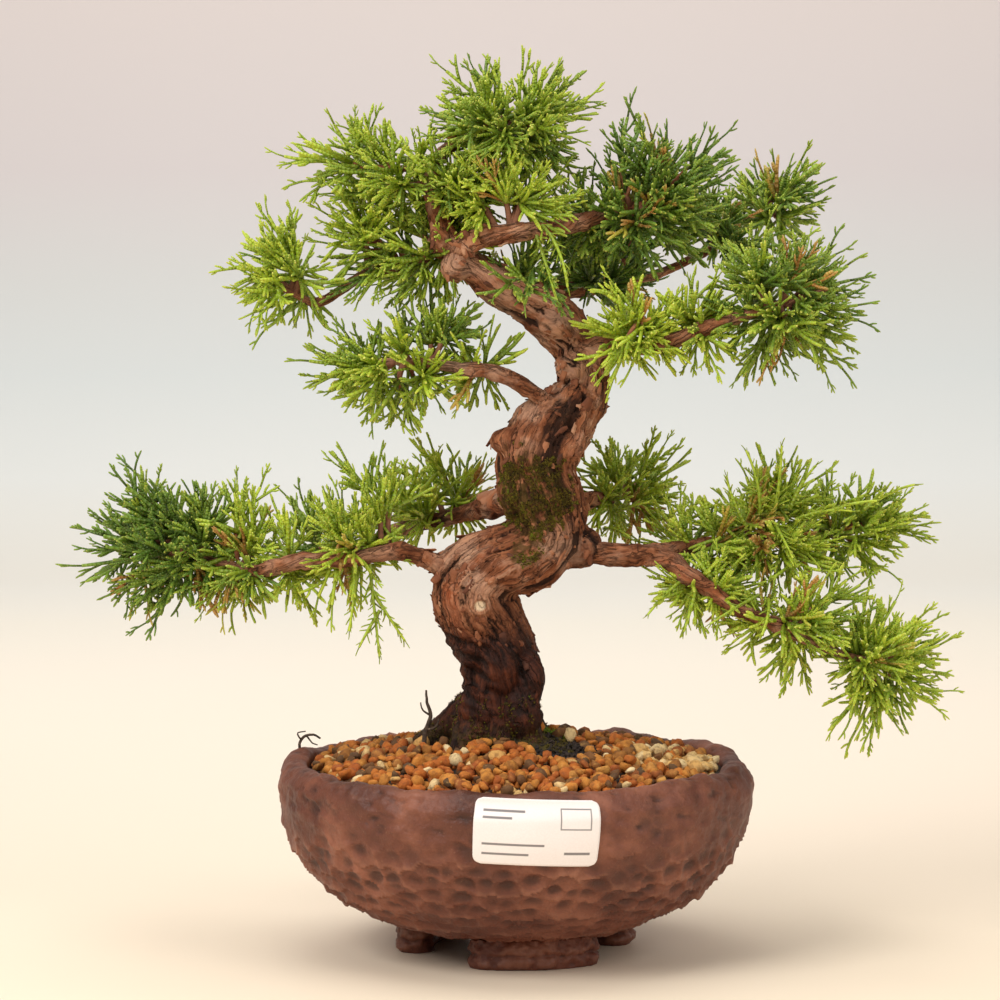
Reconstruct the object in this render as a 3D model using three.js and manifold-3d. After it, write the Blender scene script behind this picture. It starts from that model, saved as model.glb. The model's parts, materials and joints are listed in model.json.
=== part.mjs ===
// A juniper bonsai in a hand-pressed clay bowl on three feet.
//
// Units are millimetres and +Z is up. The origin is on the bowl's axis, on the surface that the feet
// stand on. The front of the tree faces -Y and its two long low branches run out along X.
//
// The bowl holds a drain screen with its wire clip, potting soil, a topping of gravel and a collar of
// moss. The tree is a trunk with its surface roots, ten stems, and a cloud of leaf sprays on each stem.
// A cloud is the outer shape of its sprays as one closed solid, and its stem runs into a socket in it.

import * as THREE from "three";
import { ConvexGeometry } from "three/addons/geometries/ConvexGeometry.js";
import { mergeVertices } from "three/addons/utils/BufferGeometryUtils.js";
import Module from "manifold-3d";

const wasm = await Module();
wasm.setup();

// ---------------------------------------------------------------- driving dimensions

const gap = 0.35; // clearance between pieces that touch

const bowl = {
  bellyRadius: 95.5, // widest, outside
  rimHeight: 77,
  bellyDrop: 11.5, // the belly lies this far below the rim
  wall: 9,
  floorRadius: 31, // flat part of the underside
  lipInset: 3, // the lip leans in this far from the belly
  drainRadius: 10,
  facets: 32,
};

const foot = {
  height: 10.5, // from the table to the bowl's underside
  innerRadius: 33,
  outerRadius: 48,
  halfAngle: 27, // degrees
  sink: 8, // how far the clay runs up the bowl's side
  places: { foot_front: -79, foot_right: 41, foot_left: 161 }, // degrees about +Z from +X
};

const screen = { radius: 18, thickness: 1, hole: 3.2, pitch: 5, rows: 4 };
const clip = { wire: 1.2, legSide: 7.5, legY: 2.5, toe: 17 };

const mound = {
  belowRim: 3, // the gravel at the bowl's wall
  aboveRim: 10, // its crown, where it would meet the bowl's axis
  gravel: 7, // thickness of the topping
};

const collar = { x: -1, y: 2, radius: 29, sink: 2, rise: 4 }; // its edge and top, about the crown

const label = {
  width: 48.5,
  height: 25.4,
  corner: 3,
  paper: 0.3,
  turn: 4.6, // degrees round the bowl from the front
  tilt: -2.5, // degrees from level
  drop: 14.5, // its centre, below the rim
};

// Stems. Each station is [x, y, z, radius] on the centre line, from the thick end to the tip. Here and
// in the leaf clouds z counts from the gravel's crown, so the tree moves with the bowl's rim.
const stems = {
  trunk: [
    [-9, 2, -29, 15],
    [-8, 2, -11, 21],
    [-7, 2, 0, 18.5],
    [-6, 1, 15, 16],
    [-7, 0, 32, 15.6],
    [-13, -3, 46, 16.6],
    [-17, -7, 57, 17],
    [-16, -9, 65, 16],
    [-6, -9, 71, 15],
    [6, -6, 75, 15.4],
    [12, -5, 85, 15.8],
    [10, -8, 97, 16.4],
    [8, -9, 110, 16.2],
    [12, -6, 121, 15.4],
    [21, 0, 130, 12.8],
    [27, 4, 140, 10.8],
    [26, 6, 153, 10.4],
    [17, 4, 165, 10.2],
    [4, 0, 175, 9.4],
    [-10, -4, 183, 7.8],
    [-22, -6, 193, 5.8],
    [-29, -5, 203, 4.6],
    [-33, -2, 217, 3.8],
    [-32, 2, 230, 3.2],
    [-19, 6, 241, 2.4],
    [-4, 10, 248, 1.6],
  ],
  stem_low_left_front: [
    [-22, -8, 63, 6],
    [-38, -15, 73, 3.6],
    [-48, -20, 76, 3.1],
    [-66, -22, 73, 3.1],
    [-86, -22, 72, 3],
    [-104, -16, 68, 2.4],
    [-120, -8, 71, 1.8],
    [-141, -2, 77, 1.4],
    [-158, 3, 79, 1],
  ],
  stem_low_left_back: [
    [2, -2, 97, 6],
    [-15, 14, 90, 3.6],
    [-31, 30, 84, 3.2],
    [-46, 40, 80, 3.4],
    [-58, 44, 73, 3],
    [-71, 46, 69, 2.2],
    [-86, 49, 68, 1.4],
  ],
  stem_mid_left: [
    [22, -2, 126, 5],
    [12, -10, 135, 3.6],
    [2, -14, 142, 3.3],
    [-10, -16, 147, 3.1],
    [-20, -16, 148, 2.5],
    [-34, -14, 150, 1.8],
    [-50, -12, 151, 1.4],
    [-68, -10, 150, 1],
  ],
  stem_low_right: [
    [8, -5, 76, 8],
    [26, -4, 74, 5.2],
    [42, -6, 73, 4.2],
    [56, -8, 73, 4.2],
    [69, -14, 66, 3.3],
    [85, -20, 55, 2.9],
    [102, -23, 47, 2.4],
    [124, -22, 37, 1.7],
    [144, -18, 31, 1],
  ],
  stem_low_right_fork: [
    [54, -7, 73.5, 3.6],
    [74, 10, 76, 2.5],
    [95, 20, 77, 2.1],
    [116, 26, 78, 1.7],
    [140, 29, 80, 1],
  ],
  stem_low_rear: [
    [8, -5, 93, 5],
    [22, 14, 92, 3.3],
    [34, 32, 93, 2.6],
    [50, 50, 96, 1.8],
    [60, 60, 99, 1],
  ],
  stem_upper_right: [
    [25, 4, 155, 5.4],
    [38, -8, 157, 3.4],
    [53, -20, 157, 3.2],
    [68, -26, 162, 2.8],
    [84, -28, 168, 2.2],
    [103, -28, 174, 1.7],
    [122, -26, 180, 1],
  ],
  stem_crown_right: [
    [-24, -5, 194, 4.6],
    [-16, -14, 199, 3.5],
    [0, -20, 202, 3.3],
    [17, -14, 204, 3.2],
    [33, -2, 208, 2.8],
    [54, 8, 213, 2],
    [70, 14, 218, 1.1],
  ],
  stem_crown_rear: [
    [6, 2, 175, 5],
    [18, 22, 178, 3.2],
    [35, 40, 179, 2.6],
    [55, 50, 183, 2.1],
    [76, 56, 192, 1.7],
    [100, 60, 205, 1.3],
    [116, 60, 216, 0.9],
  ],
  stem_upper_left: [
    [-27, -5, 199, 4],
    [-38, 4, 192, 2.6],
    [-51, 9, 187, 2.1],
    [-61, 7, 185, 2],
    [-70, 2, 179, 2],
    [-80, -2, 174, 1.7],
    [-90, -4, 179, 1.3],
    [-99, -4, 187, 0.9],
  ],
};

// Surface roots, which are one piece with the trunk.
const roots = [
  [[-12, 3, 9, 12], [-24, 4, 4, 8.5], [-36, 6, -3, 5], [-47, 8, -14, 3]],
  [[-2, -2, 5, 12], [9, -12, -2, 7.5], [17, -20, -11, 4]],
  [[0, 5, 5, 12], [12, 14, -1, 8], [21, 24, -12, 4]],
  [[-12, -2, 5, 12], [-20, -13, -2, 7], [-26, -21, -11, 4]],
  [[-9, 8, 5, 12], [-12, 20, -1, 7.5], [-15, 31, -12, 4]],
];

// Small dead pieces.
const deadTwig = [[-37, -9, -11, 1], [-36, -9, 3, 0.9], [-34, -9, 10, 0.8], [-36, -8, 19, 0.6]];
const strand = {
  turn: 171, // degrees round the rim
  curl: [[0, 0, 0.7], [1, 3.7, 0.6], [-1, 6.7, 0.6], [-6, 7.7, 0.5]], // outwards, up, radius
};

// Leaf clouds: the centre, and the half width, depth and height of each.
const clouds = {
  leaves_low_left_tip: { at: [-149, 2, 78], half: [30, 27, 34] },
  leaves_low_left_mid: { at: [-110, -12, 76], half: [24, 24, 31] },
  leaves_low_left_inner: { at: [-68, -22, 77], half: [23, 22, 41] },
  leaves_low_left_rear: { at: [-80, 46, 75], half: [28, 22, 22] },
  leaves_low_back_left: { at: [-25, 42, 97], half: [23, 22, 22] },
  leaves_low_back_right: { at: [49, 48, 95], half: [25, 25, 22] },
  leaves_mid_left: { at: [-47, -12, 148], half: [42, 26, 23] },
  leaves_upper_left_tip: { at: [-94, -4, 186], half: [20, 22, 25] },
  leaves_upper_left: { at: [-52, 8, 192], half: [33, 28, 28] },
  leaves_crown_top: { at: [-33, 2, 245], half: [67, 36, 30] },
  leaves_crown_front: { at: [2, -22, 203], half: [31, 24, 23] },
  leaves_crown_right: { at: [60, 4, 215], half: [32, 30, 36] },
  leaves_crown_rear: { at: [38, 58, 201], half: [38, 24, 25] },
  leaves_crown_far_right: { at: [112, 58, 217], half: [22, 22, 19] },
  leaves_upper_right_tip: { at: [107, -26, 176], half: [33, 31, 33] },
  leaves_upper_right_inner: { at: [51, -24, 166], half: [27, 20, 21] },
  leaves_low_right_back: { at: [119, 24, 88], half: [50, 28, 27] },
  leaves_low_right_front: { at: [114, -16, 34], half: [64, 28, 39] },
};
const cloudDetail = 2; // subdivisions of the icosahedron under a leaf cloud
const cloudLump = 0.05; // share of the radius that its lumps rise and fall

// ---------------------------------------------------------------- materials

const finish = (color, roughness, metalness = 0) =>
  new THREE.MeshStandardMaterial({ color, roughness, metalness });

const clay = finish(0x5d4440, 0.55);
const paper = finish(0xf4ebe6, 0.35);
const plasticNet = finish(0x2b2f2a, 0.6);
const aluminium = finish(0x8d8a86, 0.35, 1);
const darkSoil = finish(0x2a211b, 0.95);
const akadama = finish(0xb4692b, 0.9);
const moss = finish(0x4a4a1e, 0.95);
const bark = finish(0x8a5a41, 0.85);
const deadWood = finish(0x3a332c, 0.9);
const leaves = finish(0x5c8a2c, 0.6);

// ---------------------------------------------------------------- solids

// A closed geometry as a manifold-3d solid.
function solidOf(geometry) {
  const bare = geometry.clone();
  bare.deleteAttribute("normal");
  bare.deleteAttribute("uv");
  const merged = mergeVertices(bare, 1e-4);
  const mesh = new wasm.Mesh({
    numProp: 3,
    vertProperties: merged.attributes.position.array,
    triVerts: new Uint32Array(merged.index.array),
  });
  return new wasm.Manifold(mesh);
}

function geometryOf(solid) {
  const mesh = solid.getMesh();
  const geometry = new THREE.BufferGeometry();
  geometry.setAttribute("position", new THREE.BufferAttribute(mesh.vertProperties, 3));
  geometry.setIndex(new THREE.BufferAttribute(mesh.triVerts, 1));
  geometry.computeVertexNormals();
  return geometry;
}

const joined = (solids) => solids.reduce((whole, piece) => whole.add(piece));
const cutBy = (solid, cutters) => cutters.reduce((rest, cutter) => rest.subtract(cutter), solid);

// The largest body of a solid, without the slivers and pockets that a cut or a join can leave.
function mainBody(solid) {
  const bodies = solidOf(geometryOf(solid)).decompose();
  return bodies.reduce((best, body) => (body.volume() > best.volume() ? body : best));
}

// Revolves [radius, height] points about Z.
function revolved(points, facets) {
  const outline = points.map(([r, z]) => new THREE.Vector2(r, z));
  return solidOf(new THREE.LatheGeometry(outline, facets).rotateX(Math.PI / 2));
}

function ellipsoid([x, y, z], [a, b, c], detail = 2, lump = 0) {
  const ball = new THREE.IcosahedronGeometry(1, detail);
  const place = ball.attributes.position;
  const p = new THREE.Vector3();
  for (let i = 0; i < place.count; i++) {
    p.fromBufferAttribute(place, i);
    const wave = Math.sin(5 * p.x + 2 * z) + Math.sin(6 * p.y + x) + Math.sin(5 * p.z + y);
    p.multiplyScalar(1 + (lump * wave) / 3);
    place.setXYZ(i, x + a * p.x, y + b * p.y, z + c * p.z);
  }
  return solidOf(ball);
}

// ---------------------------------------------------------------- stems

const crown = bowl.rimHeight + mound.aboveRim;
const rooted = (stations) => stations.map(([x, y, z, radius]) => [x, y, z + crown, radius]);

// One ring of points for each station, square to the smooth line through all of them. A ring can be
// made a little smaller and set back along the line.
function ringsAlong(stations, { sides, grow = 0, shrink = 1, back = 0 }) {
  const line = new THREE.CatmullRomCurve3(stations.map(([x, y, z]) => new THREE.Vector3(x, y, z)));
  const across = new THREE.Vector3();
  const over = new THREE.Vector3();
  return stations.map(([x, y, z, radius], i) => {
    const ahead = line.getTangent(i / (stations.length - 1));
    const centre = new THREE.Vector3(x, y, z).addScaledVector(ahead, -back);
    across.crossVectors(ahead, new THREE.Vector3(0.2, 1, 0.1)).normalize();
    over.crossVectors(ahead, across).normalize();
    return Array.from({ length: sides }, (_, k) => {
      const turn = (2 * Math.PI * k) / sides;
      const point = centre.clone();
      point.addScaledVector(across, shrink * (radius + grow) * Math.cos(turn));
      return point.addScaledVector(over, shrink * (radius + grow) * Math.sin(turn));
    });
  });
}

// A tapering limb with no bend tighter than its own radius: one skin over all the rings.
function limb(stations, { sides = 8, grow = 0 } = {}) {
  const rings = ringsAlong(stations, { sides, grow });
  const corners = rings.flat();
  const faces = [];
  for (let i = 1; i < rings.length; i++) {
    for (let k = 0; k < sides; k++) {
      const [a, b] = [(i - 1) * sides + k, (i - 1) * sides + ((k + 1) % sides)];
      faces.push(a, a + sides, b, b, a + sides, b + sides);
    }
  }
  for (let k = 2; k < sides; k++) {
    const last = (rings.length - 1) * sides;
    faces.push(0, k - 1, k, last, last + k, last + k - 1);
  }
  const skin = new THREE.BufferGeometry().setFromPoints(corners);
  skin.setIndex(faces);
  const solid = solidOf(skin);
  return solid.volume() > 0 ? solid : solidOf(turnedInsideOut(skin));
}

function turnedInsideOut(geometry) {
  const faces = Array.from(geometry.index.array);
  for (let i = 0; i < faces.length; i += 3) [faces[i], faces[i + 1]] = [faces[i + 1], faces[i]];
  const turned = geometry.clone();
  turned.setIndex(faces);
  return turned;
}

// A limb with tight bends: a convex link for each span. Each link starts a little inside the last one.
function linkedLimb(stations, { sides = 8, grow = 0 } = {}) {
  const starts = ringsAlong(stations, { sides, grow, shrink: 0.97, back: 1.5 });
  const ends = ringsAlong(stations, { sides, grow });
  const links = ends.slice(1).map((ring, i) => solidOf(new ConvexGeometry([...starts[i], ...ring])));
  return joined(links);
}

const trunkShape = (grow) =>
  mainBody(
    joined([
      linkedLimb(rooted(stems.trunk), { grow }),
      ...roots.map((stations) => limb(rooted(stations), { sides: 6, grow })),
    ]),
  );

const stemNames = Object.keys(stems).filter((name) => name !== "trunk");
const stemShape = (name, grow = 0) => limb(rooted(stems[name]), { grow });

const trunk = trunkShape(0);
const trunkSocket = trunkShape(gap);
const stemSockets = Object.fromEntries(stemNames.map((name) => [name, stemShape(name, gap)]));

// A stem starts inside what carries it and is cut back to that surface.
const carriersOf = (name) =>
  name === "stem_low_right_fork" ? [trunkSocket, stemSockets.stem_low_right] : [trunkSocket];
const stemSolids = Object.fromEntries(
  stemNames.map((name) => [name, mainBody(cutBy(stemShape(name), carriersOf(name)))]),
);

// ---------------------------------------------------------------- leaf clouds

const allSockets = [trunkSocket, ...Object.values(stemSockets)];
const cloudSolids = {};
const cloudsSoFar = [];
for (const [name, { at: [x, y, z], half }] of Object.entries(clouds)) {
  const at = [x, y, z + crown];
  const whole = ellipsoid(at, half, cloudDetail, cloudLump);
  cloudSolids[name] = mainBody(cutBy(whole, [...allSockets, ...cloudsSoFar]));
  cloudsSoFar.push(ellipsoid(at, half.map((h) => h + gap), cloudDetail, cloudLump));
}

// ---------------------------------------------------------------- bowl and feet

const floorTop = foot.height + bowl.wall;
const bellyHeight = bowl.rimHeight - bowl.bellyDrop;

// A quarter of an ellipse in the bowl's section, from the flat floor up to the belly.
function sidePoints(inset, steps = 6) {
  const wide = bowl.bellyRadius - bowl.floorRadius - inset;
  const deep = bellyHeight - foot.height - inset;
  return Array.from({ length: steps + 1 }, (_, i) => {
    const turn = (i / steps) * (Math.PI / 2);
    return [bowl.floorRadius + wide * Math.sin(turn), bellyHeight - deep * Math.cos(turn)];
  });
}

const lipOuter = bowl.bellyRadius - bowl.lipInset;
const lipInner = lipOuter - bowl.wall;
const lipMiddle = (lipOuter + lipInner) / 2;
const lipRound = bowl.wall / 3;

const bowlSection = [
  [bowl.drainRadius, foot.height],
  ...sidePoints(0),
  [lipOuter, bowl.rimHeight - lipRound],
  [lipMiddle + lipRound / 2, bowl.rimHeight],
  [lipMiddle - lipRound / 2, bowl.rimHeight],
  [lipInner, bowl.rimHeight - lipRound],
  ...sidePoints(bowl.wall).reverse(),
  [bowl.drainRadius, floorTop],
  [bowl.drainRadius, foot.height],
];
const bowlSolid = revolved(bowlSection, bowl.facets);

// The bowl's outer shape as a solid without its hollow, grown all round.
const bowlBlank = (grow) =>
  revolved(
    [
      [0, foot.height - grow],
      ...sidePoints(-grow),
      [lipOuter + grow, bowl.rimHeight - lipRound],
      [lipOuter + grow, bowl.rimHeight + grow],
      [0, bowl.rimHeight + grow],
    ],
    bowl.facets,
  );

// A foot is a curved slab pressed on under the bowl, so its top follows the bowl's side.
function footSolid(middle) {
  const turn = THREE.MathUtils.degToRad(foot.halfAngle);
  const endRadius = (foot.outerRadius - foot.innerRadius) / 2;
  const midRadius = foot.innerRadius + endRadius;
  const end = (angle) => [midRadius * Math.cos(angle), midRadius * Math.sin(angle)];
  const outline = new THREE.Shape();
  outline.absarc(0, 0, foot.outerRadius, -turn, turn, false);
  outline.absarc(...end(turn), endRadius, turn, turn + Math.PI, false);
  outline.absarc(0, 0, foot.innerRadius, turn, -turn, true);
  outline.absarc(...end(-turn), endRadius, -turn + Math.PI, -turn + 2 * Math.PI, false);
  const slab = new THREE.ExtrudeGeometry(outline, {
    depth: foot.height + foot.sink,
    bevelEnabled: false,
    curveSegments: 6,
  });
  slab.rotateZ(THREE.MathUtils.degToRad(middle));
  return solidOf(slab).subtract(bowlBlank(gap));
}

// ---------------------------------------------------------------- drain screen and clip

const screenBottom = floorTop + gap;
const screenTop = screenBottom + screen.thickness;

function screenSolid() {
  const disc = new THREE.CylinderGeometry(screen.radius, screen.radius, screen.thickness, 32);
  const plate = solidOf(disc.rotateX(Math.PI / 2));
  const first = (-(screen.rows - 1) * screen.pitch) / 2;
  const holes = [];
  for (let i = 0; i < screen.rows; i++) {
    for (let j = 0; j < screen.rows; j++) {
      const hole = new THREE.BoxGeometry(screen.hole, screen.hole, 2 * screen.thickness);
      holes.push(solidOf(hole.translate(first + i * screen.pitch, first + j * screen.pitch, 0)));
    }
  }
  return cutBy(plate, holes).translate([0, 0, screenBottom + screen.thickness / 2]);
}

// A wire staple over the screen, with its two toes bent out under the bowl.
function clipSolid() {
  const barHeight = screenTop + gap + clip.wire / 2;
  const toeHeight = foot.height - gap - clip.wire / 2;
  const half = [
    [clip.toe, toeHeight],
    [clip.legSide + 2, toeHeight],
    [clip.legSide, toeHeight + 2],
    [clip.legSide, barHeight - 2],
    [clip.legSide - 1.5, barHeight],
  ];
  const path = new THREE.CurvePath();
  const points = [...half.map(([x, z]) => [-x, z]), ...half.reverse()];
  for (let i = 1; i < points.length; i++) {
    const [a, b] = [points[i - 1], points[i]].map(([x, z]) => new THREE.Vector3(x, clip.legY, z));
    path.add(new THREE.LineCurve3(a, b));
  }
  const section = new THREE.Shape().absarc(0, 0, clip.wire / 2, 0, 2 * Math.PI, false);
  const wire = new THREE.ExtrudeGeometry(section, { extrudePath: path, steps: 24, curveSegments: 3 });
  return solidOf(wire);
}

// ---------------------------------------------------------------- soil, gravel and moss

const wallInside = lipInner - gap;
const mounded = (r) => crown - (mound.aboveRim + mound.belowRim) * (r / wallInside) ** 1.2;
const soilTop = (r) => mounded(r) - mound.gravel;
const moundRadii = [1, 0.75, 0.5, 0.25, 0].map((share) => share * wallInside);

// Soil fills the bowl up to the gravel, with a recess over the screen and its clip.
function soilSolid(grow = 0) {
  const recessRadius = screen.radius + gap;
  const recessTop = screenTop + clip.wire + 2 * gap;
  const side = sidePoints(bowl.wall + gap).filter(([, z]) => z < soilTop(wallInside) - 1);
  return revolved(
    [
      [0, recessTop],
      [recessRadius, recessTop],
      [recessRadius, floorTop + gap],
      ...side,
      ...moundRadii.map((r) => [r, soilTop(r) + grow]),
    ],
    bowl.facets,
  );
}

function gravelSolid() {
  const top = moundRadii.map((r) => [r, mounded(r)]);
  const bottom = moundRadii.map((r) => [r, soilTop(r) + gap]).reverse();
  return revolved([...bottom, ...top], bowl.facets);
}

function collarPlug(grow) {
  const r = collar.radius + grow;
  const edge = crown - collar.sink + grow;
  const top = crown + collar.rise + grow;
  return revolved(
    [
      [0, floorTop],
      [r, floorTop],
      [r, edge],
      [r * 0.8, (edge + top) / 2],
      [r * 0.5, top],
      [0, top],
    ],
    24,
  ).translate([collar.x, collar.y, 0]);
}

const twigSolid = limb(rooted(deadTwig), { sides: 6 });
const twigSocket = limb(rooted(deadTwig), { sides: 6, grow: gap });

// A dry strand of root stands on the rim and curls in over it.
const strandTurn = THREE.MathUtils.degToRad(strand.turn);
const strandStations = strand.curl.map(([out, up, radius]) => {
  const r = lipMiddle + out;
  return [r * Math.cos(strandTurn), r * Math.sin(strandTurn), bowl.rimHeight + gap + up, radius];
});

const collarSolid = mainBody(cutBy(collarPlug(0), [soilSolid(gap), trunkSocket, twigSocket]));
const gravelCut = mainBody(cutBy(gravelSolid(), [collarPlug(gap), trunkSocket, twigSocket]));
const soilCut = mainBody(cutBy(soilSolid(), [trunkSocket, twigSocket]));

// Moss on the trunk: a skin over the trunk, only inside two soft outlines on its front.
const mossDepth = 2;
const mossPatches = joined([
  ellipsoid([6, -24, crown + 100], [17, 12, 14]),
  ellipsoid([5, -20, crown + 83], [9, 10, 9]),
]);
const trunkMoss = mainBody(trunkShape(gap + mossDepth).intersect(mossPatches).subtract(trunkSocket));

// ---------------------------------------------------------------- label

// A paper label lies on the bowl's side: a thin skin of the bowl's shape inside the label's outline.
function labelSolid() {
  const { width: w, height: h, corner: c } = label;
  const outline = new THREE.Shape();
  outline.absarc(w / 2 - c, -h / 2 + c, c, -Math.PI / 2, 0, false);
  outline.absarc(w / 2 - c, h / 2 - c, c, 0, Math.PI / 2, false);
  outline.absarc(-w / 2 + c, h / 2 - c, c, Math.PI / 2, Math.PI, false);
  outline.absarc(-w / 2 + c, -h / 2 + c, c, Math.PI, 1.5 * Math.PI, false);
  const block = new THREE.ExtrudeGeometry(outline, {
    depth: bowl.bellyRadius,
    bevelEnabled: false,
    curveSegments: 4,
  });
  block.rotateZ(THREE.MathUtils.degToRad(label.tilt));
  block.rotateX(Math.PI / 2);
  block.translate(0, -bowl.floorRadius, bowl.rimHeight - label.drop);
  block.rotateZ(THREE.MathUtils.degToRad(label.turn));
  const skin = bowlBlank(gap + label.paper).subtract(bowlBlank(gap));
  return mainBody(skin.intersect(solidOf(block)));
}

// ---------------------------------------------------------------- assembly

const bonsai = new THREE.Group();
bonsai.name = "juniper_bonsai";

function place(group, name, solid, material) {
  const mesh = new THREE.Mesh(geometryOf(solid), material);
  mesh.name = name;
  group.add(mesh);
}

const pot = new THREE.Group();
place(pot, "bowl", bowlSolid, clay);
for (const [name, angle] of Object.entries(foot.places)) place(pot, name, footSolid(angle), clay);
place(pot, "drain_screen", screenSolid(), plasticNet);
place(pot, "screen_clip", clipSolid(), aluminium);
place(pot, "label", labelSolid(), paper);

const fill = new THREE.Group();
place(fill, "potting_soil", soilCut, darkSoil);
place(fill, "gravel_topping", gravelCut, akadama);
place(fill, "moss_collar", collarSolid, moss);
place(fill, "dead_twig", twigSolid, deadWood);
place(fill, "dry_strand", limb(strandStations, { sides: 6 }), deadWood);

const tree = new THREE.Group();
place(tree, "trunk", trunk, bark);
for (const [name, solid] of Object.entries(stemSolids)) place(tree, name, solid, bark);
place(tree, "trunk_moss", trunkMoss, moss);
for (const [name, solid] of Object.entries(cloudSolids)) place(tree, name, solid, leaves);

bonsai.add(pot, fill, tree);

export default bonsai;
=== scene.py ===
import json
import math
import random

import bpy
import numpy as np
from mathutils import Matrix, Quaternion, Vector, noise
from mathutils.kdtree import KDTree

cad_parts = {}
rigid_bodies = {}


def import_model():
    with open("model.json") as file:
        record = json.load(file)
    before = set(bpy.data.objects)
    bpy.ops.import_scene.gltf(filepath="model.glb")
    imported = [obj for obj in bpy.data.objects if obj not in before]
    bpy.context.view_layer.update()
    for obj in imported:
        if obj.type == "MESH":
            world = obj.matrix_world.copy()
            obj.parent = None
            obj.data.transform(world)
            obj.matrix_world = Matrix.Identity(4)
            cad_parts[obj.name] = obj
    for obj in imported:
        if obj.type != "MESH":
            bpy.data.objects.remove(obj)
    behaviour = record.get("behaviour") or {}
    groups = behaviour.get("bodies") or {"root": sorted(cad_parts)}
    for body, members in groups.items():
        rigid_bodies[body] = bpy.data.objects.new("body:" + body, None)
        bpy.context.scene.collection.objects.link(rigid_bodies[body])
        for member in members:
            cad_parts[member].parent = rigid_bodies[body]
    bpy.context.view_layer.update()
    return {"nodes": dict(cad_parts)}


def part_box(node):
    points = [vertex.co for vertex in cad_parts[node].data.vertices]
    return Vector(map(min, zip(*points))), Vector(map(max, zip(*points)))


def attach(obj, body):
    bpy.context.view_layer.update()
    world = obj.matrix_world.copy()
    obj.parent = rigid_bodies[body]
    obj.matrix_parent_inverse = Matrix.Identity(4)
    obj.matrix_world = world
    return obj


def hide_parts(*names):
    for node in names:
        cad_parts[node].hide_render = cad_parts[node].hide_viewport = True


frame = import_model()
mm = 0.001
tau = 2 * math.pi


# Node trees. A Wire is one output of a node, so shader maths reads as maths.


class Wire:
    def __init__(self, tree, socket):
        self.tree, self.socket = tree, socket

    def other(self, name):  # another output of the same node
        return Wire(self.tree, findSocket(self.socket.node.outputs, name))

    def __add__(self, other):
        return self.tree.maths("ADD", self, other)

    def __radd__(self, other):
        return self.tree.maths("ADD", other, self)

    def __sub__(self, other):
        return self.tree.maths("SUBTRACT", self, other)

    def __rsub__(self, other):
        return self.tree.maths("SUBTRACT", other, self)

    def __mul__(self, other):
        return self.tree.maths("MULTIPLY", self, other)

    def __rmul__(self, other):
        return self.tree.maths("MULTIPLY", other, self)

    def __truediv__(self, other):
        return self.tree.maths("DIVIDE", self, other)

    def held(self):  # kept between 0 and 1
        return self.tree.node("ShaderNodeClamp", {}, {"Value": self})

    def rise(self, low, high):  # 0 below low, 1 above high, and smooth between them
        settings = {"interpolation_type": "SMOOTHSTEP"}
        values = {"Value": self, "From Min": low, "From Max": high, "To Min": 0.0, "To Max": 1.0}
        return self.tree.node("ShaderNodeMapRange", settings, values)


def findSocket(sockets, key):
    if isinstance(key, int):
        return sockets[key]
    live = [s for s in sockets if s.name == key and s.enabled]
    exact = [s for s in sockets if s.identifier == key]
    return (exact if key not in [s.name for s in sockets] else live or exact)[0]


class Tree:
    def __init__(self, made):
        self.made = made

    def node(self, kind, settings=None, inputs=None, output=0):
        fresh = self.made.nodes.new(kind)
        for key, value in (settings or {}).items():
            if key == "stops":
                fillRamp(fresh.color_ramp, value)
            else:
                setattr(fresh, key, value)
        pairs = inputs.items() if isinstance(inputs, dict) else enumerate(inputs or [])
        for key, value in pairs:
            self.feed(findSocket(fresh.inputs, key), value)
        return Wire(self, findSocket(fresh.outputs, output)) if len(fresh.outputs) else fresh

    def feed(self, socket, value):
        if isinstance(value, Wire):
            self.made.links.new(value.socket, socket)
        elif isinstance(value, (list, tuple)) and socket.type == "GEOMETRY":
            for each in value:
                self.made.links.new(each.socket, socket)
        elif socket.type == "RGBA" and len(value) == 3:
            socket.default_value = (*value, 1.0)
        else:
            socket.default_value = value

    def maths(self, operation, *values):
        return self.node("ShaderNodeMath", {"operation": operation}, list(values))

    def blend(self, share, first, second):
        values = {"Factor_Float": share, "A_Color": first, "B_Color": second}
        return self.node("ShaderNodeMix", {"data_type": "RGBA"}, values, "Result_Color")

    def xyz(self, x=0.0, y=0.0, z=0.0):
        return self.node("ShaderNodeCombineXYZ", {}, [x, y, z])

    def place(self):
        return self.node("ShaderNodeTexCoord", {}, {}, "Object")

    def painted(self, name, output="Fac"):  # a value stored on the mesh
        return self.node("ShaderNodeAttribute", {"attribute_name": name}, {}, output)

    def noise(self, at, scale, detail=4.0, rough=0.55, warp=0.0):
        values = {"Vector": at, "Scale": scale, "Detail": detail, "Roughness": rough, "Distortion": warp}
        return self.node("ShaderNodeTexNoise", {}, values, 0)

    def cells(self, at, scale):
        return self.node("ShaderNodeTexVoronoi", {}, {"Vector": at, "Scale": scale}, "Distance")

    def ramp(self, share, stops):
        return self.node("ShaderNodeValToRGB", {"stops": stops}, {"Fac": share}, "Color")

    def bump(self, height, distance, strength=1.0, below=None):
        values = {"Strength": strength, "Distance": distance, "Height": height}
        if below:
            values["Normal"] = below
        return self.node("ShaderNodeBump", {}, values)


def fillRamp(ramp, stops):
    while len(ramp.elements) < len(stops):
        ramp.elements.new(0.5)
    for element, (position, colour) in zip(ramp.elements, stops):
        element.position = position
        element.color = (*colour, 1.0)


def newMaterial(name, recipe, fixed=None):
    made = bpy.data.materials.new(name)
    made.use_nodes = True
    made.node_tree.nodes.clear()
    tree = Tree(made.node_tree)
    shader = tree.node("ShaderNodeBsdfPrincipled", {}, {**(fixed or {}), **recipe(tree)})
    tree.node("ShaderNodeOutputMaterial", {}, {"Surface": shader})
    return made


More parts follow.
